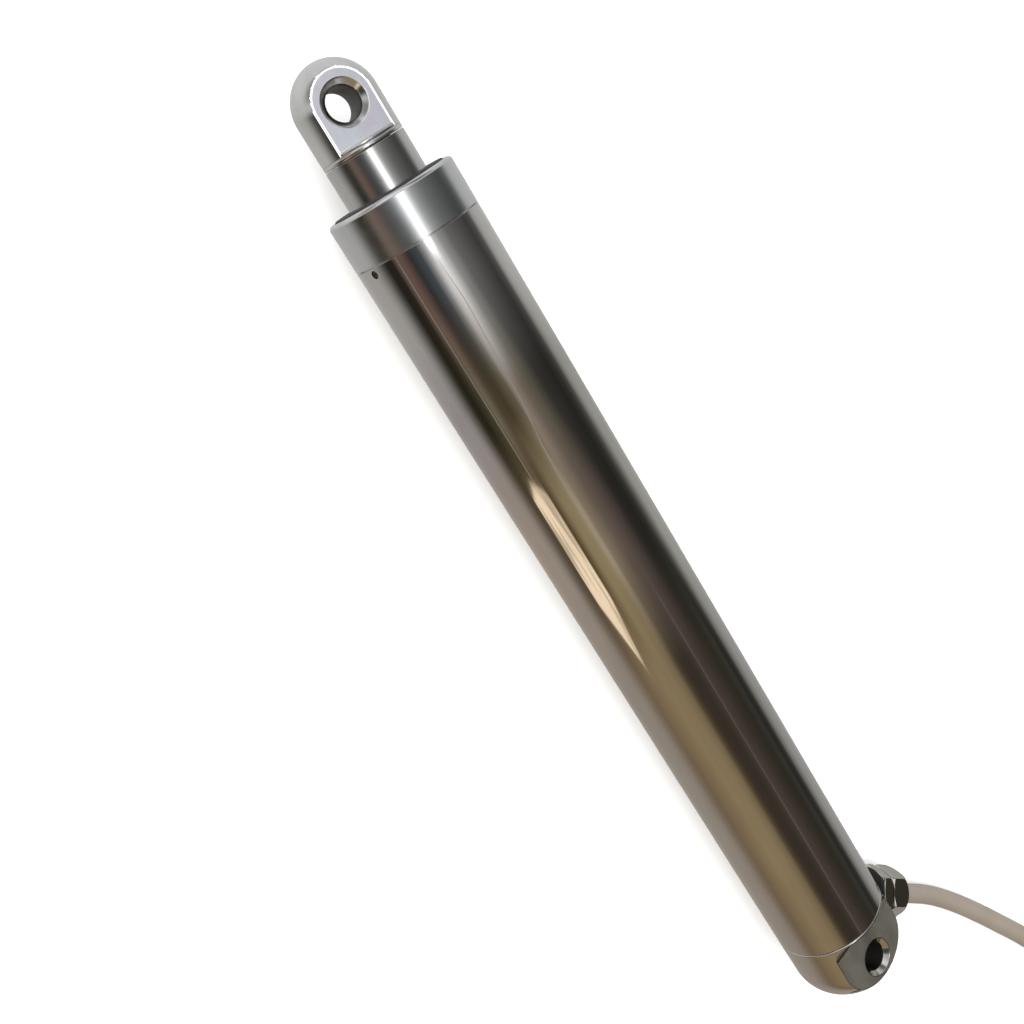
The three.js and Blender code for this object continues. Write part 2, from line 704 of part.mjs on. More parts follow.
// The carrier's plate, output shaft and planet pins, in one piece.
function planetCarrier() {
  const plateRear = GEAR_FRONT + 0.5;
  const plateFront = GEAR_FRONT + 2.8;
  const plateRadius = 11.2;
  const shaftFront = 105.7;
  const plate = turned([
    [plateRear, 0],
    [plateRear, plateRadius],
    [plateFront, plateRadius],
    [plateFront, SCREW_JOURNAL],
    [shaftFront, SCREW_JOURNAL],
    [shaftFront, 0],
  ]);
  const pins = [];
  for (let i = 0; i < PLANET_COUNT; i += 1) {
    const pin = bar(GEAR_REAR + 0.5, GEAR_FRONT + 1, PLANET_PIN, INNER_SIDES).translate(0, PLANET_ORBIT, 0);
    pins.push(pin.rotateX((i / PLANET_COUNT) * 2 * Math.PI));
  }
  return join(plate, ...pins);
}

add(body, 'gearbox_plate', ring(PLATE_REAR, PLATE_FRONT, PLATE_BORE, FITTED), STEEL);
add(body, 'ring_gear', ringGear(), STEEL);
add(body, 'gearbox_cover', ring(COVER_REAR, COVER_FRONT, SHAFT_HOLE, FITTED), STEEL);
add(body, 'sun_gear', gear(SUN_TEETH, 0, SHAFT_RADIUS + GAP), STEEL);
add(body, 'planet_carrier', planetCarrier(), STEEL);
add(body, 'drive_coupling', ring(COUPLING_REAR, COUPLING_FRONT, SCREW_JOURNAL + GAP, COUPLING_RADIUS), STEEL);
for (let i = 0; i < PLANET_COUNT; i += 1) {
  const around = (i / PLANET_COUNT) * 2 * Math.PI;
  const halfPitch = 180 / PLANET_TEETH;
  const planet = gear(PLANET_TEETH, halfPitch, PLANET_PIN + GAP).rotateX(-around).translate(0, PLANET_ORBIT, 0);
  add(body, `planet_gear_${i + 1}`, planet.rotateX(around), STEEL);
}

// ---------------------------------------------------------------- motor

const CAN_WALL = 1.2;
const BUSH_HOLE = 3.6; // radius
const BELL_REAR = 29;
const MAGNET_REAR = 42;
const MAGNET_FRONT = 72;
const SLOT_FLOOR = 4.5; // radius
const SLOT_WIDTH = 4;
const END_TURN_INNER = 4.9;
const END_TURN_OUTER = 9.6;
const COMMUTATOR_RADIUS = 4.6;
const COMMUTATOR_REAR = 36.5;
const COMMUTATOR_FRONT = 40.9;
const BRUSH_AT = 6.6; // from the axis to a brush's middle
const SHAFT_REAR = 30;
const SMALL_SIDES = 20; // of the commutator and the bushes

function motorCan() {
  return turned([
    [CAN_REAR, CAN_RADIUS - CAN_WALL],
    [CAN_REAR, CAN_RADIUS],
    [CAN_FRONT, CAN_RADIUS],
    [CAN_FRONT, BUSH_HOLE],
    [CAN_FRONT - CAN_WALL, BUSH_HOLE],
    [CAN_FRONT - CAN_WALL, CAN_RADIUS - CAN_WALL],
  ]);
}

// The end bell closes the can's rear, with a lip that reaches into it.
function motorEndBell() {
  const floor = BELL_REAR + 2.5;
  const lipOuter = CAN_RADIUS - CAN_WALL - 0.4;
  const lipInner = CAN_RADIUS - 3;
  const lipFront = CAN_REAR + 3;
  return turned([
    [BELL_REAR, BUSH_HOLE],
    [BELL_REAR, CAN_RADIUS],
    [CAN_REAR - GAP, CAN_RADIUS],
    [CAN_REAR - GAP, lipOuter],
    [lipFront, lipOuter],
    [lipFront, lipInner],
    [floor, lipInner],
    [floor, BUSH_HOLE],
  ]);
}

// One of the two curved magnets, above (+1) or below (-1) the armature.
function magnet(side) {
  const shell = ring(MAGNET_REAR, MAGNET_FRONT, CORE_RADIUS + 0.5, CAN_RADIUS - CAN_WALL - GAP);
  const beyond = 20;
  const lowest = 2.5; // height of the magnet's edges above the axis
  const other = block(MAGNET_REAR - 2, MAGNET_FRONT + 2, [0, -side * (beyond / 2 - lowest)], 2 * beyond, beyond);
  return cut(shell, other);
}

function slotBlock(from, to, inner, outer, width, turn) {
  return block(from, to, [(inner + outer) / 2, 0], outer - inner, width).rotateX(turn);
}

function armatureCore() {
  const core = ring(CORE_REAR, CORE_FRONT, SHAFT_RADIUS + GAP, CORE_RADIUS);
  const slots = [];
  for (let i = 0; i < POLES; i += 1) {
    const turn = (i / POLES) * 2 * Math.PI;
    slots.push(slotBlock(CORE_REAR - 1, CORE_FRONT + 1, SLOT_FLOOR, CORE_RADIUS + 1, SLOT_WIDTH, turn));
  }
  return cut(core, ...slots);
}

// The copper: a bundle in each slot, joined by the end turns.
function armatureWinding() {
  const rearTurns = ring(COMMUTATOR_FRONT + GAP, CORE_REAR - GAP, END_TURN_INNER, END_TURN_OUTER);
  const frontTurns = ring(CORE_FRONT + GAP, CORE_FRONT + 2.8, END_TURN_INNER, END_TURN_OUTER);
  const width = SLOT_WIDTH - 0.7;
  const bundles = [];
  for (let i = 0; i < POLES; i += 1) {
    const turn = (i / POLES) * 2 * Math.PI;
    bundles.push(slotBlock(CORE_REAR - 1, CORE_FRONT + 1, SLOT_FLOOR + 0.5, 9.5, width, turn));
  }
  return join(rearTurns, frontTurns, ...bundles);
}

function brush(side) {
  const height = 3.2;
  return block(37, 40, [0, side * BRUSH_AT], height, 3);
}

// A plain bush in the can's front or in the end bell.
function motorBush(from, to) {
  return ring(from, to, SHAFT_RADIUS + GAP, BUSH_HOLE - GAP, SMALL_SIDES);
}

function commutator() {
  return ring(COMMUTATOR_REAR, COMMUTATOR_FRONT, SHAFT_RADIUS + GAP, COMMUTATOR_RADIUS, SMALL_SIDES);
}

add(body, 'motor_can', motorCan(), STEEL);
add(body, 'motor_end_bell', motorEndBell(), BLACK_PLASTIC);
add(body, 'magnet_upper', magnet(1), MAGNET);
add(body, 'magnet_lower', magnet(-1), MAGNET);
add(body, 'motor_shaft', bar(SHAFT_REAR, GEAR_FRONT, SHAFT_RADIUS, INNER_SIDES), STEEL);
add(body, 'armature_core', armatureCore(), STEEL);
add(body, 'armature_winding', armatureWinding(), COPPER);
add(body, 'commutator', commutator(), COPPER);
add(body, 'brush_upper', brush(1), MAGNET);
add(body, 'brush_lower', brush(-1), MAGNET);
add(body, 'motor_bush_rear', motorBush(BELL_REAR + GAP, BELL_REAR + 3.5), BRONZE);
add(body, 'motor_bush_front', motorBush(CAN_FRONT - 2.5, CAN_FRONT - 0.1), BRONZE);

// ---------------------------------------------------------------- cable gland and inner wiring

// Distances along the gland's axis.
const GLAND_FLATS = 15;
const GLAND_TURN = -9; // degrees about the gland's axis, of its hexagons
const GLAND_REAR = 17;
const COLLAR_REAR = 24.4;
const COLLAR_FRONT = 28.4;
const SHANK_FRONT = 31.6;
const NUT_BACK = 28.8;
const NUT_DOME = 33; // where the hexagon's corners run into the dome
const NUT_MOUTH = 37.4;
const SEAL_FRONT = 34.1;
const CABLE_HOLE = CABLE_RADIUS + 0.35;
const GLAND_CORNER = 8.6; // radius of the turned edge round the body's hexagon
const GLAND_CHAMFER = 0.6;
const SEAL_RADIUS = 5.8;
const WASHER_RADIUS = 7.8;
const CABLE_SIDES = 12;

function glandHexagon(from, to) {
  return hexagon(from, to, GLAND_FLATS).rotateX(THREE.MathUtils.degToRad(GLAND_TURN));
}

function intersect(one, other) {
  return fromManifold(toManifold(one).intersect(toManifold(other)));
}

function glandBody() {
  const shank = bar(GLAND_REAR, SHANK_FRONT, SHANK_RADIUS);
  const turnedEdge = turned([
    [COLLAR_REAR, 0],
    [COLLAR_REAR, GLAND_CORNER - 1],
    [COLLAR_REAR + GLAND_CHAMFER, GLAND_CORNER],
    [COLLAR_FRONT - GLAND_CHAMFER, GLAND_CORNER],
    [COLLAR_FRONT, GLAND_CORNER - 1],
    [COLLAR_FRONT, 0],
  ], SIDES);
  const collar = intersect(turnedEdge, glandHexagon(COLLAR_REAR, COLLAR_FRONT));
  return cut(join(shank, collar), bar(GLAND_REAR - 1, SHANK_FRONT + 1, CABLE_HOLE));
}

function glandNut() {
  const mouthRadius = 4;
  const domeRise = 4.7;
  const corner = mouthRadius + domeRise;
  const chamfer = 0.7;
  const hollowRadius = SEAL_RADIUS + 0.4;
  const round = turned([
    [NUT_BACK, 0],
    [NUT_BACK, corner - 1],
    [NUT_BACK + chamfer, corner],
    ...quarter(NUT_DOME, NUT_MOUTH - NUT_DOME, mouthRadius, domeRise, 5),
    [NUT_MOUTH, 0],
  ], SIDES);
  const blank = intersect(round, glandHexagon(NUT_BACK, NUT_MOUTH));
  const hollow = turned([
    [NUT_BACK - 1, 0],
    [NUT_BACK - 1, hollowRadius],
    [SEAL_FRONT + GAP, hollowRadius],
    [SEAL_FRONT + 1.4, CABLE_HOLE],
    [NUT_MOUTH + 1, CABLE_HOLE],
    [NUT_MOUTH + 1, 0],
  ]);
  return cut(blank, hollow);
}

function glandWasher() {
  return ring(GLAND_SEAT + GAP, COLLAR_REAR - 0.2, SHANK_RADIUS + GAP, WASHER_RADIUS);
}

function glandSeal() {
  return ring(SHANK_FRONT + GAP, SEAL_FRONT, CABLE_RADIUS + GAP, SEAL_RADIUS);
}

// The cable's end, from inside the gland's body to the nut's mouth.
function cableInner() {
  return bar(GLAND_REAR + 0.5, NUT_MOUTH - 0.2, CABLE_RADIUS, CABLE_SIDES);
}

add(gland, 'gland_body', glandBody(), NICKEL);
add(gland, 'gland_washer', glandWasher(), RUBBER);
add(gland, 'gland_seal', glandSeal(), RUBBER);
add(gland, 'gland_nut', glandNut(), NICKEL);
add(gland, 'cable_inner', cableInner(), CABLE_GREY);

// ---------------------------------------------------------------- inner leads

const LEAD_RADIUS = 0.8;
const BOARD_REAR = 19;
const BOARD_FRONT = 20.6;

// A tube about a smooth curve through points, as [x, y, z] lists.
function tubeAlong(points, radius, sides, steps) {
  const places = points.map((point) => new THREE.Vector3(...point));
  const extrudePath = new THREE.CatmullRomCurve3(places, false, 'centripetal');
  const section = new THREE.Shape();
  section.absarc(0, 0, radius, 0, 2 * Math.PI);
  return new THREE.ExtrudeGeometry(
    new THREE.Shape(section.getPoints(sides / 4).slice(0, -1)),
    { steps, extrudePath, bevelEnabled: false },
  );
}

function terminalBoard() {
  const radius = 13.5;
  const notchWidth = 12;
  const notch = block(BOARD_REAR - 1, BOARD_FRONT + 1, [-radius + 1.5, 0], 6, notchWidth);
  return cut(bar(BOARD_REAR, BOARD_FRONT, radius), notch);
}

// A lead from the cable's inner end to the terminal board, above (+1) or below (-1) the middle.
function innerLead(side) {
  const route = [
    [-2.9, -11.5, side * 1.3],
    [1, -7.9, side * 1.4],
    [5, -5.2, side * 2],
    [11, -4.3, side * 3],
    [BOARD_REAR - GAP, -4.2, side * 3.4],
  ];
  const sides = 8;
  const steps = 8;
  return tubeAlong(route, LEAD_RADIUS, sides, steps);
}

add(turnedBody, 'terminal_board', terminalBoard(), BOARD);
add(turnedBody, 'lead_brown', innerLead(1), LEAD_BROWN);
add(turnedBody, 'lead_blue', innerLead(-1), LEAD_BLUE);

// ---------------------------------------------------------------- cable outside the gland, its coil and plug
// X is in front of the rear seam, and Z above the surface that everything lies on.

const COIL_CENTRE = [-154.4, -26];
const COIL_MIDDLE_RADIUS = 35;
const COIL_HALF_WIDTH = 8.9;
const COIL_HALF_HEIGHT = 6.4; // two layers of cable
const TIE_THICKNESS = 1;
const COIL_BOTTOM = TIE_THICKNESS + GAP;

// From the gland's mouth down to the surface and along it to the coil.
const CABLE_ROUTE = [
  [-18.2, -23.8, 7.6],
  [-21.1, -26.3, 6.6],
  [-24.2, -29, 5.5],
  [-28.8, -33, 4.2],
  [-34.6, -37.4, 3.4],
  [-41.4, -41.8, 3.2],
  [-49.9, -46.6, 3.2],
  [-59.4, -51.5, 3.2],
  [-70.2, -56.8, 3.2],
  [-81.4, -61.3, 3.2],
  [-93.4, -64.6, 3.25],
  [-105.4, -66.3, 3.55],
  [-117.4, -66.9, 3.9],
  [-130.9, -66.85, 4.25],
];

// From the coil's upper outer turn to the plug.
const TAIL_ROUTE = [
  [-131, 14.7, 9.45],
  [-125.4, 14.7, 8.7],
  [-120.4, 14.7, 8],
  [-115.6, 14.7, 7.6],
];
const PLUG_PLACE = [-115.1, 14.7, 7.45];

function cableCoil() {
  const inner = COIL_MIDDLE_RADIUS - COIL_HALF_WIDTH;
  const outer = COIL_MIDDLE_RADIUS + COIL_HALF_WIDTH;
  const top = COIL_BOTTOM + 2 * COIL_HALF_HEIGHT;
  return ring(COIL_BOTTOM, top, inner, outer, SIDES).rotateY(-Math.PI / 2).translate(...COIL_CENTRE, 0);
}

// A flat strap round the coil's bundle, on its far side.
function cableTie() {
  const strap = 5;
  const hollow = [2 * (COIL_HALF_WIDTH + GAP), 2 * (COIL_HALF_HEIGHT + GAP)];
  const [width, height] = hollow.map((size) => size + 2 * TIE_THICKNESS);
  const outer = new THREE.BoxGeometry(width, strap, height);
  const inner = new THREE.BoxGeometry(hollow[0], strap + 1, hollow[1]);
  const x = COIL_CENTRE[0] - COIL_MIDDLE_RADIUS;
  return cut(outer, inner).translate(x, COIL_CENTRE[1], height / 2);
}

// Boot, body and pins of a round connector, from its cable end along +X.
function plugBody() {
  const bootEnd = 12;
  const bodyRadius = 6.6;
  const bodyEnd = 20;
  const sleeve = 5.6;
  const sleeveEnd = 33;
  const socket = 4.4;
  const socketFloor = 26;
  const shell = turned([
    [0, 0],
    [0, 4],
    [bootEnd, 5.2],
    [bootEnd, bodyRadius],
    [bodyEnd, bodyRadius],
    [bodyEnd, sleeve],
    [sleeveEnd, sleeve],
    [sleeveEnd, socket],
    [socketFloor, socket],
    [socketFloor, 0],
  ]);
  const pins = [];
  const pinCount = 4;
  const pinRadius = 0.6;
  const pinCircle = 2.2;
  for (let i = 0; i < pinCount; i += 1) {
    const pin = bar(socketFloor - 1, sleeveEnd - 1, pinRadius, 8).translate(0, pinCircle, 0);
    pins.push(pin.rotateX(((i + 0.5) * 2 * Math.PI) / pinCount));
  }
  return join(shell, ...pins);
}

// The plug's knurled coupling ring.
function plugRing() {
  const from = 20.5;
  const to = 29.5;
  const crest = 7.4;
  const valley = 6.9;
  const bore = 5.9;
  const ridges = 18;
  const knurl = [];
  for (let i = 0; i < 2 * ridges; i += 1) {
    const angle = (i / ridges) * Math.PI;
    const radius = i % 2 === 0 ? crest : valley;
    knurl.push([radius * Math.cos(angle), radius * Math.sin(angle)]);
  }
  return cut(prism(knurl, from, to), bar(from - 0.5, to + 0.5, bore));
}

const RUN_STEPS = 14;
const TAIL_STEPS = 3;

const outside = groupIn(actuator);
outside.position.x = REAR_SEAM_X;

const plug = groupIn(outside);
plug.position.set(...PLUG_PLACE);

add(outside, 'cable_run', tubeAlong(CABLE_ROUTE, CABLE_RADIUS, CABLE_SIDES, RUN_STEPS), CABLE_GREY);
add(outside, 'cable_coil', cableCoil(), CABLE_GREY);
add(outside, 'cable_tail', tubeAlong(TAIL_ROUTE, CABLE_RADIUS, CABLE_SIDES, TAIL_STEPS), CABLE_GREY);
add(outside, 'cable_tie', cableTie(), BLACK_PLASTIC);
add(plug, 'plug_body', plugBody(), BLACK_PLASTIC);
add(plug, 'plug_ring', plugRing(), NICKEL);

export default actuator;
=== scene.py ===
"""Looks for an in-line tubular linear actuator: camera, cable, fine pieces, materials and light.

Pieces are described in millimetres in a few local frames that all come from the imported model.
In BODY, +X is the distance in front of the rear seam, on the tube's axis.
"""
import json
import math

import bmesh
import bpy
from mathutils import Matrix, Vector


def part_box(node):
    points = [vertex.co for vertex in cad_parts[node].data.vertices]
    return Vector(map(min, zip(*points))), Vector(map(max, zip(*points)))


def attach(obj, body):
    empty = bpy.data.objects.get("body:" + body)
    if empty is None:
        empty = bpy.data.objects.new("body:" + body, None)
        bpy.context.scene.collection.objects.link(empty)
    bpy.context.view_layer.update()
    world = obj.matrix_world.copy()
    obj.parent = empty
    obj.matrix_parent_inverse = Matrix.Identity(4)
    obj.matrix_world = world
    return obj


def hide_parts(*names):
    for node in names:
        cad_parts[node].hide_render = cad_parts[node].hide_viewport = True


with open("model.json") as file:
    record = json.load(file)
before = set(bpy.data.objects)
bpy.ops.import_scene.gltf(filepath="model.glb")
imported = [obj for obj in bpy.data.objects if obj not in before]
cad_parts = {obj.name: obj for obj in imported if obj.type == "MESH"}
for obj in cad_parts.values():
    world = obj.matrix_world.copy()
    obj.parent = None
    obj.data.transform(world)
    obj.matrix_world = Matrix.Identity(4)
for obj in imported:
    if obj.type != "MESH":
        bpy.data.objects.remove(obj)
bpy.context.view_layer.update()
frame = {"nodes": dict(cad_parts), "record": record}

# ---------------------------------------------------------------- sizes and local frames

MM = 0.001
GAP = 0.3  # between touching CAD solids
TUBE_RADIUS = (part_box("outer_tube")[1].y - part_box("outer_tube")[0].y) / 2 / MM
TUBE_LENGTH = (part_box("outer_tube")[1].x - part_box("outer_tube")[0].x) / MM + 2 * GAP
SEAM_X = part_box("outer_tube")[0].x / MM - GAP
CAP_REACH = SEAM_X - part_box("rear_cap")[0].x / MM
EYE_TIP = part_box("rod_eye")[1].x / MM - SEAM_X
ROD_RADIUS = 11
BORE = 16
FITTED = BORE - 0.05  # the radius of what fits in the tube
ROD_CLEAR = ROD_RADIUS + 0.12  # the radius of what the rod runs in
PIN_HOLE_RADIUS = 4.3
PIN_HOLE_CHAMFER = 1.4
EYE_HALF_THICKNESS = 8.1
CAP_HALF_THICKNESS = 11
CAP_FLAT_FILLET = 4
COLLAR_FRONT = TUBE_LENGTH + 12.7
EYE_SEAM = TUBE_LENGTH + 23.8
EYE_HOLE_AT = TUBE_LENGTH + 35
CAP_HOLE_AT = -16.4
BODY_TURN = 22.5
EYE_TURN = 4
GLAND_LEAN = 43
GLAND_AT = 9.5
SHANK_RADIUS = 5.2
CAP_SPIGOT = 14  # how far the rear cap reaches into the tube
COLLAR_SPIGOT = 14  # and the front collar
SCREW_HOLE_RADIUS = 1.06
FRONT_SCREW = (TUBE_LENGTH - 1.7, 30)  # x, and degrees from +Y towards +Z
REAR_SCREW = (6, 210)
CABLE_RADIUS = 3.15
ON_AXIS = 1e-6  # a smaller radius is a point on the axis
FINE = 160  # sides of a large round piece
SMALL = 64  # sides of a small one

WORLD = Matrix.Scale(MM, 4)
BODY = WORLD @ Matrix.Translation((SEAM_X, 0, TUBE_RADIUS))
TURNED = BODY @ Matrix.Rotation(math.radians(BODY_TURN), 4, "X")
BEHIND = WORLD @ Matrix.Translation((SEAM_X, 0, 0))
EYE = BODY @ Matrix.Rotation(math.radians(EYE_TURN), 4, "X")
GLAND_IN_CAP = (Matrix.Translation((GLAND_AT, 0, 0))
                @ Matrix.Rotation(math.radians(180 + GLAND_LEAN), 4, "Z"))
GLAND = TURNED @ GLAND_IN_CAP


# ---------------------------------------------------------------- camera

def make_camera():
    """The camera, looking steeply down over the rod eye towards the middle of the tube.

    Its directions, place and lens come from a fit to points read from the photograph.
    """
    right = Vector((-0.4951, -0.8130, 0.3064))
    down = Vector((-0.8066, 0.5612, 0.1858))
    forward = Vector((-0.3231, -0.1552, -0.9336))
    data = bpy.data.cameras.new("camera")
    data.sensor_width = 36
    data.lens = 44.378
    data.shift_x = -0.0664
    data.shift_y = 0.021
    data.clip_start = 0.01
    camera = bpy.data.objects.new("camera", data)
    bpy.context.scene.collection.objects.link(camera)
    place = Matrix((right, -down, -forward)).transposed().to_4x4()
    place.translation = Vector((129.75, 57.0, 336.1)) * MM
    camera.matrix_world = place
    bpy.context.scene.camera = camera


make_camera()


# ---------------------------------------------------------------- mesh helpers

def mesh_of(name, build):
    """A mesh filled in by build(bm)."""
    mesh = bpy.data.meshes.new(name)
    bm = bmesh.new()
    build(bm)
    bmesh.ops.recalc_face_normals(bm, faces=bm.faces)
    bm.to_mesh(mesh)
    bm.free()
    return mesh


def lathe(outline, sides=FINE):
    """A closed round mesh about X, from its outline as (x, radius) pairs."""
    def build(bm):
        rings = []
        for x, radius in outline:
            if radius < ON_AXIS:
                rings.append([bm.verts.new((x, 0, 0))] * sides)
                continue
            angles = [2 * math.pi * k / sides for k in range(sides)]
            ring = [(x, radius * math.cos(a), radius * math.sin(a)) for a in angles]
            rings.append([bm.verts.new(corner) for corner in ring])
        pairs = zip(rings, rings[1:] + rings[:1])
        for one, other in pairs:
            for k in range(sides):
                n = (k + 1) % sides
                corners = [one[k], one[n], other[n], other[k]]
                corners = [v for i, v in enumerate(corners) if v not in corners[:i]]
                if len(corners) > 2:
                    bm.faces.new(corners)
    return mesh_of("lathe", build)


def box_mesh(low, high):
    """A box between two corners."""
    def build(bm):
        bmesh.ops.create_cube(bm, size=1)
        for v in bm.verts:
            v.co = Vector([lo + (c + 0.5) * (hi - lo) for c, lo, hi in zip(v.co, low, high)])
    return mesh_of("box", build)


def prism(outline, start, end):
    """A closed prism along X, from its outline as (y, z) pairs."""
    def build(bm):
        near = [bm.verts.new((start, y, z)) for y, z in outline]
        far = [bm.verts.new((end, y, z)) for y, z in outline]
        bm.faces.new(near)
        bm.faces.new(far)
        for k in range(len(outline)):
            n = (k + 1) % len(outline)
            bm.faces.new((near[k], near[n], far[n], far[k]))
    return mesh_of("prism", build)


def hexagon(start, end, across_flats, turn):
    """A hexagonal prism along X, turned by so many degrees."""
    corner = across_flats / math.sqrt(3)
    angles = [math.radians(turn + 60 * k) for k in range(6)]
    return prism([(corner * math.cos(a), corner * math.sin(a)) for a in angles], start, end)


def moved(mesh, matrix):
    mesh.transform(matrix)
    return mesh


def arc(cx, cr, radius, start, end, steps=8):
    """Points (x, radius) on an arc about (cx, cr); 0 degrees is towards +X and 90 is outwards."""
    angles = [math.radians(start + (end - start) * k / steps) for k in range(steps + 1)]
    return [(cx + radius * math.cos(a), cr + radius * math.sin(a)) for a in angles]


def combined(mesh, others, operation):
    """The mesh with each of the others cut away from it, joined to it or intersected with it."""
    target = bpy.data.objects.new("target", mesh)
    bpy.context.scene.collection.objects.link(target)
    tools = []
    for other in others:
        tool = bpy.data.objects.new("tool", other)
        bpy.context.scene.collection.objects.link(tool)
        modifier = target.modifiers.new("boolean", "BOOLEAN")
        modifier.operation = operation
        modifier.solver = "EXACT"
        modifier.object = tool
        tools.append(tool)
    bpy.context.view_layer.update()
    graph = bpy.context.evaluated_depsgraph_get()
    result = bpy.data.meshes.new_from_object(target.evaluated_get(graph))
    for o in [target] + tools:
        bpy.data.objects.remove(o)
    return result


def cut(mesh, *others):
    return combined(mesh, others, "DIFFERENCE")


def join(mesh, *others):
    return combined(mesh, others, "UNION")


def common(mesh, *others):
    return combined(mesh, others, "INTERSECT")


def rounded(mesh, width):
    """Rounds every sharp edge, after clearing the slivers that a boolean leaves."""
    sliver = 0.03
    sharp = math.radians(32)
    bm = bmesh.new()
    bm.from_mesh(mesh)
    bmesh.ops.remove_doubles(bm, verts=bm.verts, dist=sliver)
    bmesh.ops.dissolve_degenerate(bm, edges=bm.edges, dist=sliver)
    edges = [e for e in bm.edges if len(e.link_faces) == 2 and e.calc_face_angle(0) > sharp]
    bmesh.ops.bevel(bm, geom=edges, offset=width, segments=2, profile=0.5, affect="EDGES")
    bm.to_mesh(mesh)
    bm.free()
    return mesh


def piece(name, mesh, place, body, material, nodes=(), sharp=30):
    """Places a mesh given in a local frame's millimetres, and makes it a piece of the object."""
    mesh.name = name
    mesh.transform(place)
    mesh.materials.clear()
    mesh.materials.append(material)
    mesh.shade_smooth()
    mesh.set_sharp_from_angle(angle=math.radians(sharp))
    obj = bpy.data.objects.new(name, mesh)
    bpy.context.scene.collection.objects.link(obj)
    normals = obj.modifiers.new("weighted", "WEIGHTED_NORMAL")
    normals.keep_sharp = True
    normals.weight = 80
    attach(obj, body)
    if nodes:
        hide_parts(*nodes)
    return obj


def pin_hole(x, half_thickness):
    """The cutter for a cross hole along Z with a chamfer at each flat."""
    wide = PIN_HOLE_RADIUS + PIN_HOLE_CHAMFER
    outline = [
        (-half_thickness - 1, 0),
        (-half_thickness - 1, wide + 1),
        (-half_thickness + PIN_HOLE_CHAMFER, PIN_HOLE_RADIUS),
        (half_thickness - PIN_HOLE_CHAMFER, PIN_HOLE_RADIUS),
        (half_thickness + 1, wide + 1),
        (half_thickness + 1, 0),
    ]
    turn = Matrix.Translation((x, 0, 0)) @ Matrix.Rotation(math.radians(-90), 4, "Y")
    return moved(lathe(outline, 96), turn)


def slabs(start, end, half_thickness, fillet):
    """The two prisms that leave a round end with a pair of flats, filleted where they stop."""
    beyond = 30  # past the round stock on every side
    steps = 12
    side = 1 if end > start else -1
    outline = [(start, half_thickness + beyond), (start, half_thickness)]
    for k in range(steps + 1):
        a = math.radians(90 / steps * k)
        x = end - side * fillet * (1 - math.sin(a))
        outline.append((x, half_thickness + fillet * (1 - math.cos(a))))
    outline.append((end, half_thickness + beyond))
    upper = moved(prism(outline, -beyond, beyond), Matrix.Rotation(-math.pi / 2, 4, "Z"))
    lower = moved(upper.copy(), Matrix.Rotation(math.pi, 4, "X"))
    return upper, lower


def across_wall(x, degrees):
    """Turns a mesh about X so that it crosses the tube's wall at x, degrees from +Y towards +Z."""
    turn = Matrix.Rotation(math.radians(degrees), 4, "X") @ Matrix.Rotation(math.radians(90), 4, "Z")
    return Matrix.Translation((x, 0, 0)) @ turn


def screw_hole(x, degrees):
    """The cutter for a fixing screw's hole, from inside the tube's wall to outside it."""
    inner, outer = 14, 19
    bar = [(inner, 0), (inner, SCREW_HOLE_RADIUS), (outer, SCREW_HOLE_RADIUS), (outer, 0)]
    return moved(lathe(bar, 32), across_wall(x, degrees))


# ---------------------------------------------------------------- material helpers

class Nodes:
    """A small wrapper that builds a node tree line by line."""

    def __init__(self, tree):
        self.tree = tree

    def add(self, kind, **settings):
        node = self.tree.nodes.new(kind)
        inputs = settings.pop("inputs", {})
        for key, value in settings.items():
            setattr(node, key, value)
        for key, value in inputs.items():
            if isinstance(value, bpy.types.NodeSocket):
                self.tree.links.new(value, node.inputs[key])
            else:
                node.inputs[key].default_value = value
        return node

    def ramp(self, factor, stops):
        node = self.add("ShaderNodeValToRGB", inputs={0: factor})
        elements = node.color_ramp.elements
        while len(elements) < len(stops):
            elements.new(0.5)
        for element, (position, colour) in zip(elements, stops):
            element.position = position
            element.color = (*colour, 1)
        return node.outputs[0]

    def math(self, operation, a, b=0.0):
        return self.add("ShaderNodeMath", operation=operation, inputs={0: a, 1: b}).outputs[0]

    def stretched(self, scale):
        """Object coordinates in millimetres, scaled by a different amount along each axis."""
        where = self.add("ShaderNodeTexCoord").outputs["Object"]
        sized = [s / MM for s in scale]
        return self.add("ShaderNodeMapping", vector_type="POINT",
                        inputs={"Vector": where, "Scale": sized}).outputs[0]

    def noise(self, scale, detail=3.0, rough=0.5, distortion=0.0):
        """Noise with so many marks per millimetre along each axis."""
        inputs = {"Vector": self.stretched(scale), "Scale": 1.0, "Detail": detail, "Roughness": rough,
                  "Distortion": distortion}
        return self.add("ShaderNodeTexNoise", inputs=inputs).outputs["Fac"]

    def span(self, value, low, high, from_low=0.3, from_high=0.7):
        """Goes from low to high as the value goes from from_low to from_high, and stays there."""
        inputs = {"Value": value, "From Min": from_low, "From Max": from_high,
                  "To Min": low, "To Max": high}
        return self.add("ShaderNodeMapRange", inputs=inputs).outputs[0]

    def bump(self, height, distance, normal=None):
        inputs = {"Height": height, "Distance": distance * MM}
        if normal:
            inputs["Normal"] = normal
        return self.add("ShaderNodeBump", inputs=inputs).outputs[0]

    def mix(self, factor, a, b):
        node = self.add("ShaderNodeMix", data_type="RGBA")
        # 0 is the factor, and 6 and 7 are the two colours.
        for key, value in ((0, factor), (6, a), (7, b)):
            if isinstance(value, bpy.types.NodeSocket):
                self.tree.links.new(value, node.inputs[key])
            else:
                node.inputs[key].default_value = value if key == 0 else (*value, 1)
        return node.outputs[2]


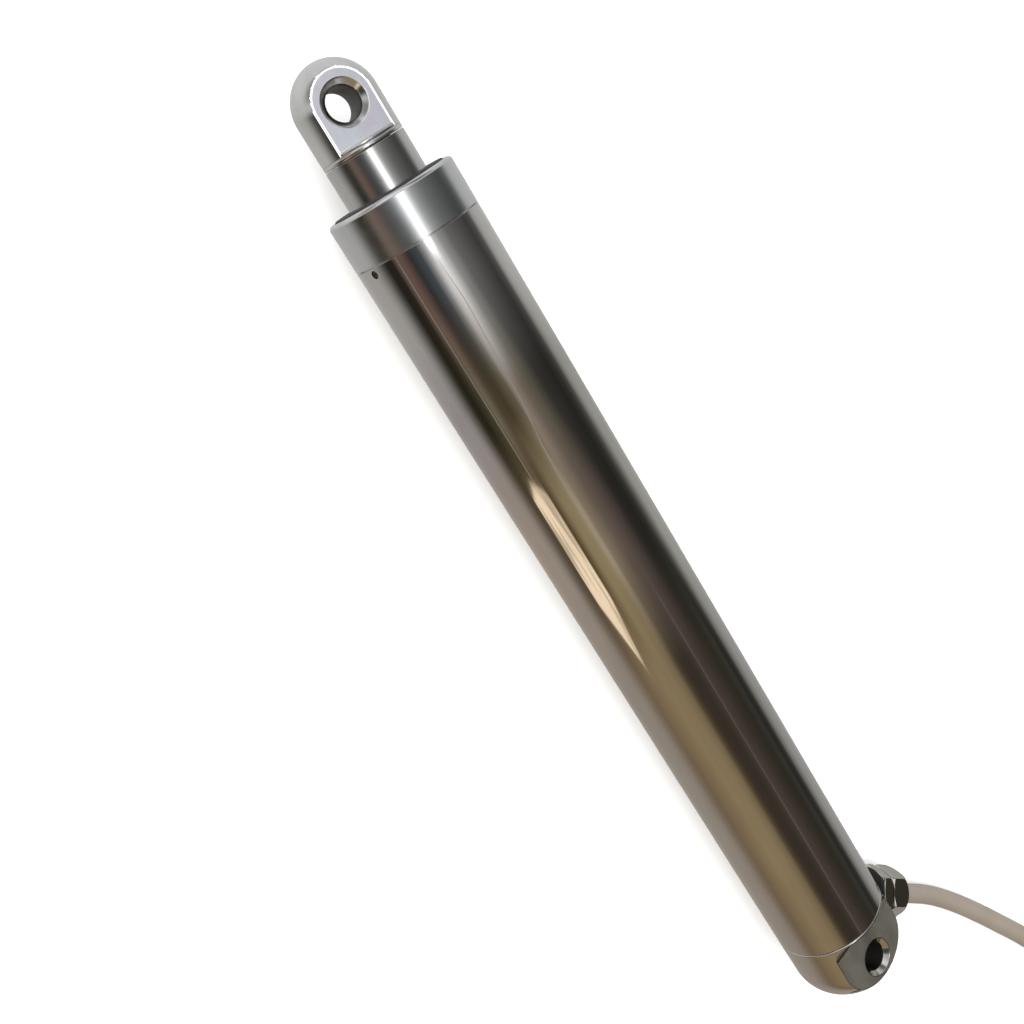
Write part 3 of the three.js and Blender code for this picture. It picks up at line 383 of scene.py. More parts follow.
def new_material(name, metallic, **sockets):
    """A material with its shader, its node builder and the colour, roughness and normal to link."""
    material = bpy.data.materials.new(name)
    material.use_nodes = True
    shader = material.node_tree.nodes["Principled BSDF"]
    shader.inputs["Metallic"].default_value = metallic
    for key, value in sockets.items():
        shader.inputs[key.replace("_", " ")].default_value = value
    return material, Nodes(material.node_tree), shader


def link(material, shader, colour=None, roughness=None, normal=None):
    for key, value in (("Base Color", colour), ("Roughness", roughness), ("Normal", normal)):
        if value is not None:
            material.node_tree.links.new(value, shader.inputs[key])
    return material


def metal(name, colour, roughness, grain, depth, waviness=0.0, tint=None):
    """A bare metal: grain is its machining marks per millimetre along X, Y and Z."""
    material, n, shader = new_material(name, 1.0)
    marks = n.noise(grain, 4, 0.6)
    smears = n.noise((0.03, 0.09, 0.09), 4, 0.6, 0.4)
    spots = n.noise((0.6, 0.6, 0.6), 2, 0.5)
    dark = tuple(c * 0.86 for c in colour)
    base = n.mix(n.span(smears, 0.0, 1.0), colour, tint or dark)
    base = n.mix(n.span(marks, 0.0, 0.35), base, dark)
    rough = n.math("MULTIPLY", n.span(smears, 0.8, 1.35), roughness)
    rough = n.math("ADD", rough, n.span(spots, 0.0, roughness * 0.15, 0.6, 0.8))
    normal = n.bump(marks, depth)
    if waviness:
        normal = n.bump(n.noise((0.012, 0.05, 0.05), 2), waviness, normal)
    return link(material, shader, base, rough, normal)


def plastic(name, colour, roughness, grain=3.0, depth=0.01, soil=0.15):
    """A moulded or extruded plastic or rubber with a fine grain and slightly uneven colour."""
    material, n, shader = new_material(name, 0.0)
    fine = n.noise((grain, grain, grain), 3)
    broad = n.noise((0.08, 0.08, 0.08), 4, 0.6)
    dark = tuple(c * (1 - soil) for c in colour)
    base = n.mix(n.span(broad, 0.0, 1.0), colour, dark)
    rough = n.math("ADD", n.span(broad, roughness * 0.85, roughness * 1.15), n.span(fine, -0.03, 0.03))
    return link(material, shader, base, rough, n.bump(fine, depth))


# Colours are linear red, green and blue, and depths are in millimetres.
POLISHED = metal("polished_steel", (0.60, 0.585, 0.565), 0.05, (0.05, 2.0, 2.0), 0.0005, 0.02,
                 (0.54, 0.52, 0.50))
ROD_STEEL = metal("rod_steel", (0.60, 0.595, 0.585), 0.17, (0.05, 2.0, 2.0), 0.0006)
CAP_POLISH = metal("polished_cap", (0.62, 0.60, 0.575), 0.08, (1.5, 1.5, 1.5), 0.0008)
CAP_FLAT = metal("milled_cap", (0.97, 0.97, 0.93), 0.42, (0.9, 0.9, 0.9), 0.004, 0.0,
                 (0.86, 0.86, 0.78))
TURNED_STEEL = metal("turned_steel", (0.68, 0.69, 0.70), 0.19, (6.0, 0.02, 0.02), 0.0004)
EYE_STEEL = metal("eye_steel", (0.72, 0.725, 0.72), 0.17, (2.5, 2.5, 2.5), 0.004)
FLAT_STEEL = metal("milled_steel", (0.70, 0.80, 0.84), 0.36, (0.7, 0.7, 0.7), 0.03, 0.0,
                   (0.88, 0.80, 0.92))
# Steel darkened far below steel's own colour: painted shade for the inside of the pin holes and screw
# holes.
BORE_PAINTED_SHADE = metal("bore_steel_painted_shade", (0.13, 0.125, 0.12), 0.5, (1.5, 1.5, 3.0), 0.01)
# A pale, non-metal edge for the rod eye's flats: partly edge wear, partly a painted highlight that stands
# in for the edges' glints.
EDGE_WEAR_AND_PAINTED_HIGHLIGHT = plastic("edge_wear_and_painted_highlight", (0.85, 0.86, 0.88), 0.45, 2.0, 0.005, 0.1)
NICKEL = metal("nickel", (0.62, 0.585, 0.55), 0.12, (1.2, 1.2, 1.2), 0.002)
STEEL = metal("inner_steel", (0.50, 0.505, 0.52), 0.33, (4.0, 0.3, 0.3), 0.003)
BRONZE = metal("bronze", (0.55, 0.38, 0.18), 0.32, (4.0, 0.3, 0.3), 0.003)
COPPER = metal("copper", (0.65, 0.30, 0.15), 0.3, (5.0, 1.0, 1.0), 0.02)
RUBBER = plastic("rubber", (0.012, 0.012, 0.012), 0.6, 4.0, 0.01)
MAGNET = plastic("ferrite", (0.03, 0.03, 0.033), 0.6, 5.0, 0.02)
NYLON = plastic("nylon", (0.62, 0.59, 0.5), 0.45)
BLACK_PLASTIC = plastic("black_plastic", (0.018, 0.018, 0.02), 0.42, 5.0, 0.012)
BOARD = plastic("circuit_board", (0.015, 0.09, 0.045), 0.4)
CABLE = plastic("cable_jacket", (0.20, 0.17, 0.138), 0.45, 2.0, 0.006, 0.12)
LEAD_BROWN = plastic("lead_brown", (0.09, 0.035, 0.015), 0.35)
LEAD_BLUE = plastic("lead_blue", (0.02, 0.07, 0.28), 0.35)

# ---------------------------------------------------------------- the cable

COIL_CENTRE = (-154.4, -26.0)
TURN_SPACING = 6.5
LAYER_TURNS = 1.75
COIL_INNER = 29.3
COIL_LOW = 1.3 + CABLE_RADIUS
POINTS_PER_TURN = 24
INNER_CORNER = 0.06  # in turns, how softly the cable goes from inwards to outwards

# Points in BEHIND: from the gland's mouth down to the surface and along it to the coil.
CABLE_ROUTE = [
    (-18.2, -23.8, 7.6),
    (-21.1, -26.3, 6.6),
    (-24.2, -29.0, 5.5),
    (-28.8, -33.0, 4.2),
    (-34.6, -37.4, 3.4),
    (-41.4, -41.8, 3.2),
    (-49.9, -46.6, 3.2),
    (-59.4, -51.5, 3.2),
    (-70.2, -56.8, 3.2),
    (-81.4, -61.3, 3.2),
    (-93.4, -64.6, 3.25),
    (-105.4, -66.3, 3.55),
    (-117.4, -66.9, 3.9),
    (-130.4, -66.85, 4.25),
    (-142.4, -66.75, 4.4),
]

# From the top of the coil down to the plug.
TAIL_ROUTE = [
    (-146.4, 14.7, 10.8),
    (-137.4, 14.7, 10.2),
    (-128.4, 14.7, 9.1),
    (-120.4, 14.7, 8.0),
    (-114.4, 14.7, 7.5),
    (-111.4, 14.7, 7.45),
]
PLUG_PLACE = (-115.1, 14.7, 7.45)


def ease(t):
    """A smooth step from 0 to 1."""
    t = min(max(t, 0), 1)
    return t * t * (3 - 2 * t)


def coil_points():
    """Down the lower layer inwards, up at the inside, and outwards again along the upper layer."""
    points = []
    count = round(2 * LAYER_TURNS * POINTS_PER_TURN)
    for k in range(count + 1):
        turns = k / POINTS_PER_TURN
        past = turns - LAYER_TURNS
        angle = math.radians(-90 - 360 * turns)
        softened = INNER_CORNER * (1 - abs(past) / LAYER_TURNS)
        radius = COIL_INNER + TURN_SPACING * (math.hypot(past, INNER_CORNER) - softened)
        height = COIL_LOW + TURN_SPACING * ease(past * 3 + 0.5)
        x = COIL_CENTRE[0] + radius * math.cos(angle)
        y = COIL_CENTRE[1] + radius * math.sin(angle)
        points.append((x, y, height))
    return points


def cable_points():
    """The whole run in metres, from inside the gland to inside the plug."""
    inside = [GLAND @ Vector((t, 0, 0)) for t in (20.0, 26.0, 32.0)]
    return inside + [BEHIND @ Vector(point) for point in CABLE_ROUTE + coil_points() + TAIL_ROUTE]


def make_cable():
    curve = bpy.data.curves.new("cable", "CURVE")
    curve.dimensions = "3D"
    curve.bevel_depth = CABLE_RADIUS * MM
    curve.bevel_resolution = 6
    curve.resolution_u = 6
    curve.use_fill_caps = True
    points = cable_points()
    spline = curve.splines.new("BEZIER")
    spline.bezier_points.add(len(points) - 1)
    for bezier, point in zip(spline.bezier_points, points):
        bezier.co = point
        bezier.handle_left_type = "AUTO"
        bezier.handle_right_type = "AUTO"
    curve.materials.append(CABLE)
    cable = bpy.data.objects.new("cable", curve)
    bpy.context.scene.collection.objects.link(cable)
    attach(cable, "housing")
    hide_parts("cable_run", "cable_coil", "cable_tail", "cable_inner")
    return cable


def make_plug():
    """Boot with grip ribs, knurled ring and four pins of a round connector."""
    place = BEHIND @ Matrix.Translation(PLUG_PLACE)
    grip_count = 12
    pin_radius = 0.6
    boot = [(0.2, CABLE_RADIUS + 0.1), (0.2, 4.0)]
    for k in range(5):
        x, radius = 1.6 + 2.0 * k, 4.1 + 0.2 * k
        boot += [(x, radius), (x, radius - 0.7), (x + 0.8, radius - 0.7), (x + 0.8, radius + 0.1)]
    boot += [(12, 5.1), (12, 6.1)] + arc(12.5, 6.1, 0.5, 180, 90, 4) + [(20, 6.6), (20, 5.6), (32.6, 5.6)]
    boot += [(33, 5.2), (33, 4.6), (32.7, 4.4), (26, 4.4), (26, 0), (2, 0), (2, CABLE_RADIUS + 0.1)]
    grips = [box_mesh((13.2, -0.35, 6.2), (19, 0.35, 7.2)) for _ in range(grip_count)]
    for k, grip in enumerate(grips):
        moved(grip, Matrix.Rotation(math.radians(360 / grip_count * k), 4, "X"))
    body = rounded(cut(lathe(boot, 96), *grips), 0.12)
    plug = piece("plug", body, place, "housing", BLACK_PLASTIC, ["plug_body"])
    knurl = []
    for k in range(96):
        radius = (7.4, 7.32, 7.05, 7.32)[k % 4]
        knurl.append((radius * math.cos(math.pi * k / 48), radius * math.sin(math.pi * k / 48)))
    ends = lathe([(20, 0), (20, 6.8), (20.6, 7.5), (29.4, 7.5), (30, 6.8), (30, 0)], 96)
    ring = cut(common(prism(knurl, 20.5, 29.5), ends), lathe([(19, 0), (19, 5.8), (31, 5.8), (31, 0)], 96))
    collar = piece("plug_nut", ring, place, "housing", NICKEL, ["plug_ring"], 20)
    outline = [(25.5, 0), (25.5, pin_radius), (31.4, pin_radius)]
    outline += arc(31.4, 0, pin_radius, 80, 10, 4) + [(32, 0)]
    pins = [moved(lathe(outline, 24), Matrix.Rotation(math.radians(45 + 90 * k), 4, "X")
            @ Matrix.Translation((0, 2.2, 0))) for k in range(4)]
    pin = piece("plug_pins", join(*pins), place, "housing", BRONZE, ())
    return [plug, collar, pin]


def make_tie():
    """A strap with rounded corners round the coil's far side, with its ratchet head on top."""
    middle = COIL_CENTRE[0] - 35.85
    half, corner, low = 6.55, 2.4, 0.3
    strap_thickness = 0.9
    inner, outer = [], []
    for turn, (cx, cz) in enumerate([(1, 1), (-1, 1), (-1, -1), (1, -1)]):
        for step in range(7):
            a = math.radians(90 * turn + 15 * step)
            x, z = cx * (half - corner), low + 1 + half + cz * (half - corner)
            inner.append((x + corner * math.cos(a), z + corner * math.sin(a)))
            wide = corner + strap_thickness
            outer.append((x + wide * math.cos(a), z + wide * math.sin(a)))
    upright = Matrix.Rotation(math.radians(90), 4, "Z")
    strap = cut(prism(outer, -2.3, 2.3), prism(inner, -3, 3))
    top = low + 1 + 2 * half
    head = rounded(box_mesh((-3.2, -2.6, top - 0.1), (3.2, 2.6, top + 1.2)), 0.4)
    tail = box_mesh((-1.9, 2.4, top + 0.2), (1.9, 7.0, top + 0.9))
    place = BEHIND @ Matrix.Translation((middle, COIL_CENTRE[1], 0)) @ upright
    whole = rounded(join(strap, head, tail), 0.15)
    return piece("tie", whole, place, "housing", BLACK_PLASTIC, ["cable_tie"])


cable = make_cable()
plug_pieces = make_plug()
tie = make_tie()


# ---------------------------------------------------------------- tube, collar and rear cap

def finish_eye(eye, place, hole_at, half_thickness, flat, edge):
    """Gives an eye's flats, their rounded edges and its bore their own materials: the bore a darkened steel
    as painted shade, and on the rod eye the edges a pale paint, partly edge wear and partly a painted
    highlight.
    """
    for material in (flat, edge, BORE_PAINTED_SHADE):
        eye.data.materials.append(material)
    back = place.inverted()
    for face in eye.data.polygons:
        centre = back @ face.center
        upright = abs((back.to_3x3() @ face.normal).normalized().z)
        from_axis = math.hypot(centre.x - hole_at, centre.y)
        below_flat = half_thickness - abs(centre.z)
        on_nose = centre.x > hole_at - 9.5 and from_axis > PIN_HOLE_RADIUS + 2
        if from_axis < PIN_HOLE_RADIUS + 0.05 and upright < 0.5:
            # The bore takes the darkened steel: painted shade inside the hole.
            face.material_index = 3  # the bore
        elif upright > 0.999 and below_flat < 0.01:
            face.material_index = 1  # the flat
        elif 0 < below_flat < 0.21 and upright > 0.1 and on_nose:
            # On the rod eye this edge is pale paint: partly edge wear, partly a painted highlight.
            face.material_index = 2  # the flat's rounded edge


def make_tube():
    end = 0.35
    outline = arc(0.1 + end, TUBE_RADIUS - end, end, 180, 90, 4)
    outline += arc(TUBE_LENGTH - 0.25, TUBE_RADIUS - 0.1, 0.1, 90, 0, 4)
    outline += [(TUBE_LENGTH - 0.15, BORE), (0.1, BORE)]
    shell = cut(lathe(outline), screw_hole(*FRONT_SCREW), screw_hole(*REAR_SCREW))
    piece("tube", shell, BODY, "housing", POLISHED, ["outer_tube"])


def make_collar():
    front = COLLAR_FRONT
    start = TUBE_LENGTH + 0.1
    rear = TUBE_LENGTH - COLLAR_SPIGOT
    edge = 1.2
    bush_seat = 13.4
    wiper_seat = 15.7
    outline = [(rear, bush_seat), (rear, FITTED), (start, FITTED)]
    outline += arc(start + 0.1, TUBE_RADIUS - 0.1, 0.1, 180, 90, 3)
    outline += arc(front - edge, TUBE_RADIUS - edge, edge, 90, 5, 12)
    outline += [(front, wiper_seat + 0.2), (front - 0.2, wiper_seat), (front - 4, wiper_seat),
                (front - 4, ROD_CLEAR), (TUBE_LENGTH + 2, ROD_CLEAR), (TUBE_LENGTH + 2, bush_seat)]
    piece("collar", lathe(outline), BODY, "housing", TURNED_STEEL, ["front_collar"])
    lip = [(front - 3.9, 15.6), (front - 3.9, ROD_CLEAR + 0.6), (front - 0.4, ROD_CLEAR - 0.05),
           (front + 0.1, ROD_CLEAR - 0.05), (front + 0.35, ROD_CLEAR + 0.5), (front + 0.35, 15.1),
           (front + 0.15, 15.45), (front - 0.2, 15.6)]
    piece("wiper", lathe(lip), BODY, "housing", RUBBER, ["wiper_ring"])


def make_fixing(name, x, degrees, node):
    """A headless screw with a slotted end, just below the tube's surface."""
    outline = [(14.3, 0), (14.3, 1.0), (17.1, 1.0), (17.3, 0.8), (17.3, 0)]
    screw = lathe(outline, 32)
    slot = box_mesh((16.7, -0.17, -1.2), (18, 0.17, 1.2))
    mesh = moved(cut(screw, slot), across_wall(x, degrees))
    # The screw takes the bores' darkened steel: painted shade down in its hole.
    piece(name, mesh, BODY, "housing", BORE_PAINTED_SHADE, [node])


def make_cap():
    straight = 12
    steps = 28
    bore_radius = SHANK_RADIUS + 0.1
    dome = []
    for k in range(steps + 1):
        a = math.radians(90 * k / steps)
        dome.append((-straight - (CAP_REACH - straight) * math.cos(a), TUBE_RADIUS * math.sin(a)))
    outline = dome + arc(-0.5, TUBE_RADIUS - 0.45, 0.45, 90, 0, 5)
    outline += [(-0.05, FITTED), (CAP_SPIGOT, FITTED), (CAP_SPIGOT, 12), (1, 12), (1, 7), (-5, 7), (-5, 0)]
    bore = lathe([(10, 0), (10, bore_radius), (30, bore_radius), (30, 0)], SMALL)
    seat = lathe([(23.3, 0), (23.3, 9.0), (40, 9.0), (40, 0)], SMALL)
    x, degrees = REAR_SCREW
    mesh = cut(lathe(outline), *slabs(-CAP_REACH - 1, -0.8, CAP_HALF_THICKNESS, CAP_FLAT_FILLET),
               pin_hole(CAP_HOLE_AT, CAP_HALF_THICKNESS), moved(bore, GLAND_IN_CAP),
               moved(seat, GLAND_IN_CAP), screw_hole(x, degrees - BODY_TURN))
    cap = piece("cap", rounded(mesh, 0.16), TURNED, "housing", CAP_POLISH, ["rear_cap"])
    finish_eye(cap, TURNED, CAP_HOLE_AT, CAP_HALF_THICKNESS, CAP_FLAT, CAP_POLISH)


make_tube()
make_collar()
make_cap()
make_fixing("collar_screw", *FRONT_SCREW, "collar_pin")
make_fixing("cap_screw", *REAR_SCREW, "cap_pin")


# ---------------------------------------------------------------- rod and rod eye

def make_rod():
    front = EYE_SEAM - 0.15
    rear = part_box("rod_tube")[0].x / MM - SEAM_X
    bore = 7.6
    outline = [(rear, bore)] + arc(rear + 0.3, ROD_RADIUS - 0.3, 0.3, 180, 90, 3)
    outline += arc(front - 0.2, ROD_RADIUS - 0.2, 0.2, 90, 0, 3) + [(front, bore)]
    piece("rod", lathe(outline), BODY, "rod", ROD_STEEL, ["rod_tube"])


def make_eye():
    rear = EYE_SEAM
    shank = 7.4  # its radius, inside the rod
    outline = [(rear - 12, 0), (rear - 12, shank), (rear, shank)]
    outline += arc(rear + 0.2, ROD_RADIUS - 0.2, 0.2, 180, 90, 3)
    outline += [(rear + 0.9, ROD_RADIUS), (rear + 1.0, ROD_RADIUS - 0.1), (rear + 1.1, ROD_RADIUS)]
    outline += arc(EYE_TIP - ROD_RADIUS, 0, ROD_RADIUS, 90, 0, 28)
    mesh = cut(lathe(outline), *slabs(EYE_TIP + 1, rear + 1.8, EYE_HALF_THICKNESS, 0.3),
               pin_hole(EYE_HOLE_AT, EYE_HALF_THICKNESS))
    eye = piece("eye", rounded(mesh, 0.2), EYE, "rod", EYE_STEEL, ["rod_eye"])
    finish_eye(eye, EYE, EYE_HOLE_AT, EYE_HALF_THICKNESS, FLAT_STEEL, EDGE_WEAR_AND_PAINTED_HIGHLIGHT)


make_rod()
make_eye()


# ---------------------------------------------------------------- cable gland

def thread(start, end, radius, pitch, depth):
    """The outline of a row of thread crests."""
    points = []
    x = start
    while x + pitch <= end:
        points += [(x, radius - depth), (x + 0.38 * pitch, radius), (x + 0.62 * pitch, radius)]
        x += pitch
    return points + [(x, radius - depth)]


def make_gland():
    """Distances are along the gland's axis, from where it meets the body's axis."""
    hole = CABLE_RADIUS + 0.12
    relief = 4.8  # the shank's radius beside its threads
    across_flats = 15
    turn = -9
    collar_start, collar_end = 24.2, 28.4
    dome_start, dome_end = 28.8, 37.4
    bevel_inner, bevel_outer = 7.2, 8.7
    shank = [(17, hole), (17, SHANK_RADIUS - 0.4)] + thread(17.4, 24.2, SHANK_RADIUS, 1.0, 0.45)
    shank += [(24.6, relief), (28, relief)] + thread(28.1, 31.1, SHANK_RADIUS, 1.0, 0.45)
    shank += [(31.6, relief), (31.6, hole)]
    piece("gland_thread", lathe(shank, SMALL), GLAND, "housing", NICKEL, ["gland_body"])
    edge = lathe([(collar_start, 0), (collar_start, bevel_inner), (24.9, bevel_outer),
                  (27.3, bevel_outer), (collar_end, bevel_inner), (collar_end, 0)], 96)
    through = lathe([(23, 0), (23, 5.0), (29, 5.0), (29, 0)], SMALL)
    blank = cut(common(hexagon(collar_start, collar_end, across_flats, turn), edge), through)
    piece("gland_collar", rounded(blank, 0.12), GLAND, "housing", NICKEL, ())
    washer = arc(23.8, 7.5, 0.25, 180, 0, 6) + [(24.05, 5.4), (23.55, 5.4)]
    piece("gland_gasket", lathe(washer, SMALL), GLAND, "housing", RUBBER, ["gland_washer"])
    seal = [(31.9, hole), (31.9, 5.7), (34.0, 5.7), (35.2, 4.1), (36.8, 3.9), (36.8, hole)]
    piece("gland_grommet", lathe(seal, SMALL), GLAND, "housing", RUBBER, ["gland_seal"])
    round_part = [(dome_start, 0), (dome_start, 7.6), (29.6, bevel_outer)]
    for k in range(13):
        a = math.radians(7.5 * k)
        round_part.append((33 + 4.4 * math.sin(a), 4 + 4.7 * math.cos(a)))
    hollow = [(28, 0), (28, 5.3), (34.2, 5.3), (35.6, 4.0), (38, 4.0), (38, 0)]
    dome = common(lathe(round_part + [(dome_end, 0)], 96), hexagon(dome_start, 38, across_flats, turn))
    nut = rounded(cut(dome, lathe(hollow, SMALL)), 0.16)
    piece("gland_dome", nut, GLAND, "housing", NICKEL, ["gland_nut"])


make_gland()


# ---------------------------------------------------------------- pieces inside, straight from the frame

INNER = {
    "steel": STEEL, "bronze": BRONZE, "copper": COPPER, "rubber": RUBBER, "magnet": MAGNET, "nylon": NYLON,
    "black_plastic": BLACK_PLASTIC, "board": BOARD, "lead_brown": LEAD_BROWN, "lead_blue": LEAD_BLUE,
    "polished_steel": POLISHED, "satin_steel": TURNED_STEEL, "nickel": NICKEL, "cable_jacket": CABLE,
}
for part in frame["record"]["subparts"]:
    node = frame["nodes"][part["node"]]
    node.data.materials.clear()
    node.data.materials.append(INNER[part["material_slot"]])


# ---------------------------------------------------------------- floor and light

def make_floor():
    mesh = box_mesh((-3000, -3000, -10), (3000, 3000, 0))
    mesh.transform(WORLD)
    floor = bpy.data.objects.new("floor", mesh)
    material, n, shader = new_material("floor", 0.0, Roughness=0.7)
    broad = n.noise((0.002, 0.002, 0.002), 2)
    link(material, shader, n.mix(n.span(broad, 0, 1), (0.88, 0.88, 0.88), (0.86, 0.86, 0.86)))
    mesh.materials.append(material)
    floor.visible_glossy = False  # the metal sees the studio's own pale horizon there
    bpy.context.scene.collection.objects.link(floor)


def soft_light(name, strength, turn, spread):
    """A broad light from above that lights the scene but doesn't show as a hard shape in polished metal."""
    data = bpy.data.lights.new(name, "SUN")
    data.energy = strength
    data.angle = math.radians(spread)
    light = bpy.data.objects.new(name, data)
    light.rotation_euler = [math.radians(a) for a in turn]
    light.visible_glossy = False
    bpy.context.scene.collection.objects.link(light)


# What the metal sees of the studio, as (degrees from overhead towards +Y, linear colour), in four
# rooms along X that change over with the direction's x. These four tables are not a free design:
# a scratch program sampled the photograph's colours across the tube, turned them into directions
# through the fitted camera, and they were divided by the steel's colour and rounded by hand.
FRONT_ROOM = [
    (-113, (0.63, 0.63, 0.62)), (-101, (0.52, 0.52, 0.51)), (-91, (0.13, 0.13, 0.13)),
    (-78, (0.07, 0.07, 0.07)), (-60, (0.12, 0.12, 0.12)), (-37, (0.21, 0.21, 0.21)),
    (-20, (0.46, 0.46, 0.46)), (-11, (0.90, 0.90, 0.90)), (-4, (1.25, 1.26, 1.28)),
    (5, (0.95, 0.94, 0.95)), (13, (0.36, 0.37, 0.38)), (20, (0.10, 0.115, 0.13)),
    (36, (0.05, 0.05, 0.055)), (43, (0.13, 0.09, 0.08)), (52, (0.22, 0.14, 0.12)),
    (61, (0.18, 0.13, 0.11)), (67, (0.035, 0.03, 0.02)), (79, (0.03, 0.025, 0.02)),
    (87, (0.12, 0.12, 0.11)), (101, (0.41, 0.40, 0.38)), (114, (0.56, 0.55, 0.53)),
]
SECOND_ROOM = [
    (-113, (0.46, 0.465, 0.44)), (-104, (0.38, 0.38, 0.35)), (-93, (0.10, 0.10, 0.09)),
    (-84, (0.05, 0.05, 0.045)), (-72, (0.03, 0.03, 0.027)), (-44, (0.055, 0.052, 0.045)),
    (-28, (0.14, 0.13, 0.095)), (-12, (0.23, 0.195, 0.155)), (1, (0.38, 0.32, 0.26)),
    (6, (0.36, 0.31, 0.25)), (10, (0.20, 0.17, 0.11)), (28, (0.09, 0.07, 0.035)),
    (41, (0.12, 0.09, 0.06)), (53, (0.26, 0.22, 0.15)), (59, (0.10, 0.085, 0.05)),
    (76, (0.03, 0.025, 0.014)), (84, (0.045, 0.04, 0.025)), (94, (0.19, 0.175, 0.155)),
    (103, (0.36, 0.33, 0.32)), (114, (0.45, 0.41, 0.41)),
]
MIDDLE_ROOM = [
    (-112, (0.47, 0.475, 0.44)), (-101, (0.28, 0.28, 0.26)), (-93, (0.13, 0.135, 0.115)),
    (-84, (0.05, 0.05, 0.043)), (-72, (0.03, 0.03, 0.026)), (-54, (0.042, 0.036, 0.03)),
    (-43, (0.09, 0.073, 0.065)), (-14, (0.21, 0.165, 0.135)), (6, (0.37, 0.30, 0.21)),
    (11, (0.56, 0.46, 0.33)), (15, (0.56, 0.45, 0.31)), (20, (0.45, 0.37, 0.21)),
    (34, (0.42, 0.33, 0.19)), (46, (0.14, 0.095, 0.04)), (70, (0.15, 0.11, 0.05)),
    (84, (0.14, 0.11, 0.075)), (93, (0.26, 0.21, 0.175)), (102, (0.41, 0.36, 0.30)),
    (112, (0.49, 0.42, 0.36)),
]
REAR_ROOM = [
    (-115, (0.43, 0.43, 0.42)), (-102, (0.27, 0.27, 0.255)), (-93, (0.06, 0.06, 0.05)),
    (-85, (0.035, 0.035, 0.03)), (-76, (0.06, 0.06, 0.05)), (-64, (0.045, 0.042, 0.03)),
    (-50, (0.06, 0.05, 0.037)), (-26, (0.11, 0.085, 0.07)), (-19, (0.075, 0.06, 0.045)),
    (-10, (0.06, 0.048, 0.037)), (3, (0.07, 0.052, 0.038)), (10, (0.12, 0.09, 0.05)),
    (18, (0.29, 0.22, 0.13)), (30, (0.38, 0.29, 0.165)), (48, (0.41, 0.31, 0.18)),
    (68, (0.34, 0.25, 0.14)), (84, (0.27, 0.195, 0.125)), (94, (0.32, 0.255, 0.19)),
    (104, (0.40, 0.34, 0.28)), (116, (0.43, 0.38, 0.33)),
]

# The wall that the rod points at, with its own bright strip overhead. This one is a guess.
FRONT_WALL = [
    (-104, (0.80, 0.80, 0.80)), (-90, (0.55, 0.55, 0.55)), (-80, (0.16, 0.16, 0.16)),
    (-42, (0.14, 0.14, 0.14)), (-26, (1.15, 1.15, 1.15)), (42, (1.15, 1.15, 1.15)),
    (56, (0.30, 0.29, 0.28)), (78, (0.25, 0.24, 0.23)), (90, (0.55, 0.54, 0.53)),
    (104, (0.80, 0.79, 0.78)),
]

# Where the edge of the ceiling's light part runs: twice the direction's x away from the rod, and
# the edge's angle as 0.5 + degrees / 100. It was traced from the band's edge in the photograph.
EDGE_ROUTE = [
    (0.18, 0.50), (0.25, 0.46), (0.35, 0.50), (0.43, 0.53),
    (0.50, 0.62), (0.58, 0.66), (0.71, 0.63), (0.86, 0.57),
]
PANEL_LIGHT = (4.0, 4.1, 4.2)
WINDOW_LIGHT = (1.5, 1.22, 0.88)
WINDOW_AT = 63.0
WINDOW_HALF_WIDTH = 15.0
FRONT_HAZE = (0.68, 0.69, 0.67)


def room_colour(n, x, degrees, rooms):
    """The four rooms along X, each running into the next, and the bright panel in the first."""
    colour = rooms[0]
    for room, start, end in zip(rooms[1:4], (-0.11, -0.22, -0.35), (-0.20, -0.30, -0.44)):
        colour = n.mix(n.span(x, 0.0, 1.0, start, end), colour, room)
    off = n.math("ABSOLUTE", n.math("ADD", degrees, 2.0))
    panel = n.math("MULTIPLY", n.span(off, 1.0, 0.0, 3.0, 8.0), n.span(x, 0.0, 1.0, -0.09, -0.06))
    return n.mix(panel, colour, PANEL_LIGHT)


def add_battens(n, x, degrees, colour):
    """Three pale battens: one along the edge of the ceiling's light part, one at each side."""
    edge = n.ramp(n.math("MULTIPLY", x, -2.0), [(along, (at, at, at)) for along, at in EDGE_ROUTE])
    edge_at = n.math("MULTIPLY", n.math("SUBTRACT", edge, 0.5), 100.0)
    for at, half, light, start, end in (
        (edge_at, 1.1, (0.50, 0.47, 0.42), -0.10, -0.34),
        (58.0, 1.2, (0.36, 0.32, 0.27), -0.06, -0.27),
        (-26.0, 1.2, (0.17, 0.15, 0.14), -0.38, -0.70),
    ):
        off = n.math("ABSOLUTE", n.math("SUBTRACT", degrees, at))
        begun = n.span(x, 1.0, 0.0, start - 0.02, start + 0.02)
        along = n.math("MULTIPLY", begun, n.span(x, 0.0, 1.0, end - 0.02, end))
        strip = n.math("MULTIPLY", n.span(off, 1.0, 0.0, half * 0.5, half), along)
        colour = n.mix(strip, colour, light)
    return colour


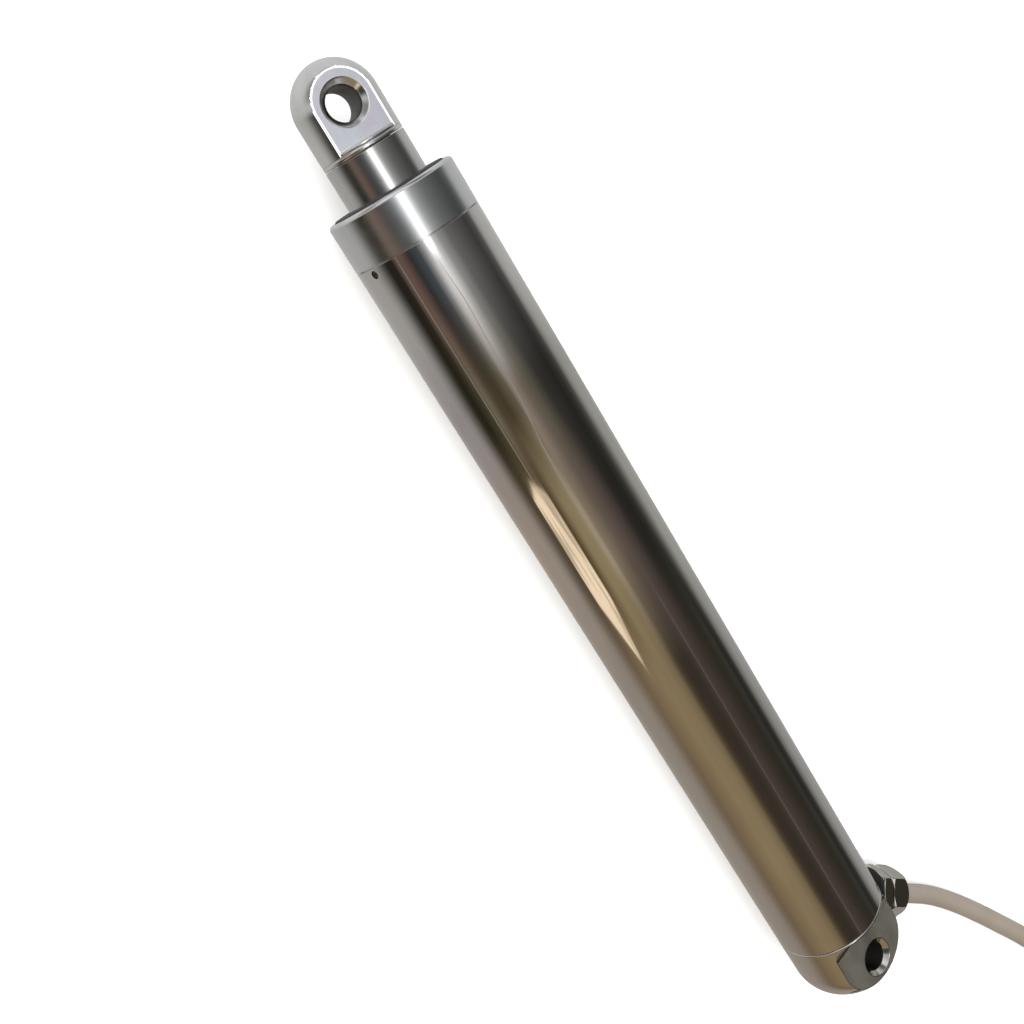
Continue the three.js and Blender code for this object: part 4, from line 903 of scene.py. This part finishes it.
def add_window(n, x, degrees, direction, colour):
    """A slim window, pointed at both ends and broken up by its blinds."""
    rear_end = n.span(x, 0.0, WINDOW_HALF_WIDTH, -0.435, -0.375)
    front_end = n.span(x, 0.0, WINDOW_HALF_WIDTH, -0.270, -0.284)
    off = n.math("ABSOLUTE", n.math("SUBTRACT", degrees, WINDOW_AT))
    inside = n.math("SUBTRACT", n.math("MINIMUM", rear_end, front_end), off)
    inputs = {"Vector": direction, "Scale": 14.0, "Detail": 1.0}
    blinds = n.add("ShaderNodeTexNoise", inputs=inputs).outputs["Fac"]
    window = n.math("MULTIPLY", n.span(inside, 0.0, 1.0, 0.0, 2.0), n.span(blinds, 0.5, 1.0, 0.42, 0.52))
    return n.mix(window, colour, WINDOW_LIGHT)


def make_world():
    """A dim room overhead with a pale horizon, a pale wall in front, and bright panels above."""
    world = bpy.data.worlds.new("studio")
    world.use_nodes = True
    bpy.context.scene.world = world
    n = Nodes(world.node_tree)
    direction = n.add("ShaderNodeTexCoord").outputs["Generated"]
    x, y, z = n.add("ShaderNodeSeparateXYZ", inputs={0: direction}).outputs
    degrees = n.math("MULTIPLY", n.math("ARCTAN2", y, z), 180 / math.pi)
    place = n.math("ADD", n.math("DIVIDE", degrees, 360.0), 0.5)
    rooms = [n.ramp(place, [(0.5 + a / 360, colour) for a, colour in room])
             for room in (FRONT_ROOM, SECOND_ROOM, MIDDLE_ROOM, REAR_ROOM, FRONT_WALL)]
    colour = room_colour(n, x, degrees, rooms)
    colour = add_battens(n, x, degrees, colour)
    colour = add_window(n, x, degrees, direction, colour)
    colour = n.mix(n.span(x, 0.0, 1.0, 0.12, 0.30), colour, FRONT_HAZE)
    colour = n.mix(n.span(x, 0.0, 1.0, 0.45, 0.65), colour, rooms[4])
    background = world.node_tree.nodes["Background"]
    world.node_tree.links.new(colour, background.inputs["Color"])


make_floor()
make_world()
soft_light("key", 1.9, (35, 0, 20), 120)
soft_light("fill", 1.5, (-30, 0, -60), 150)
soft_light("dome", 2.1, (0, 0, 0), 179)
bpy.context.scene.view_settings.view_transform = "Standard"
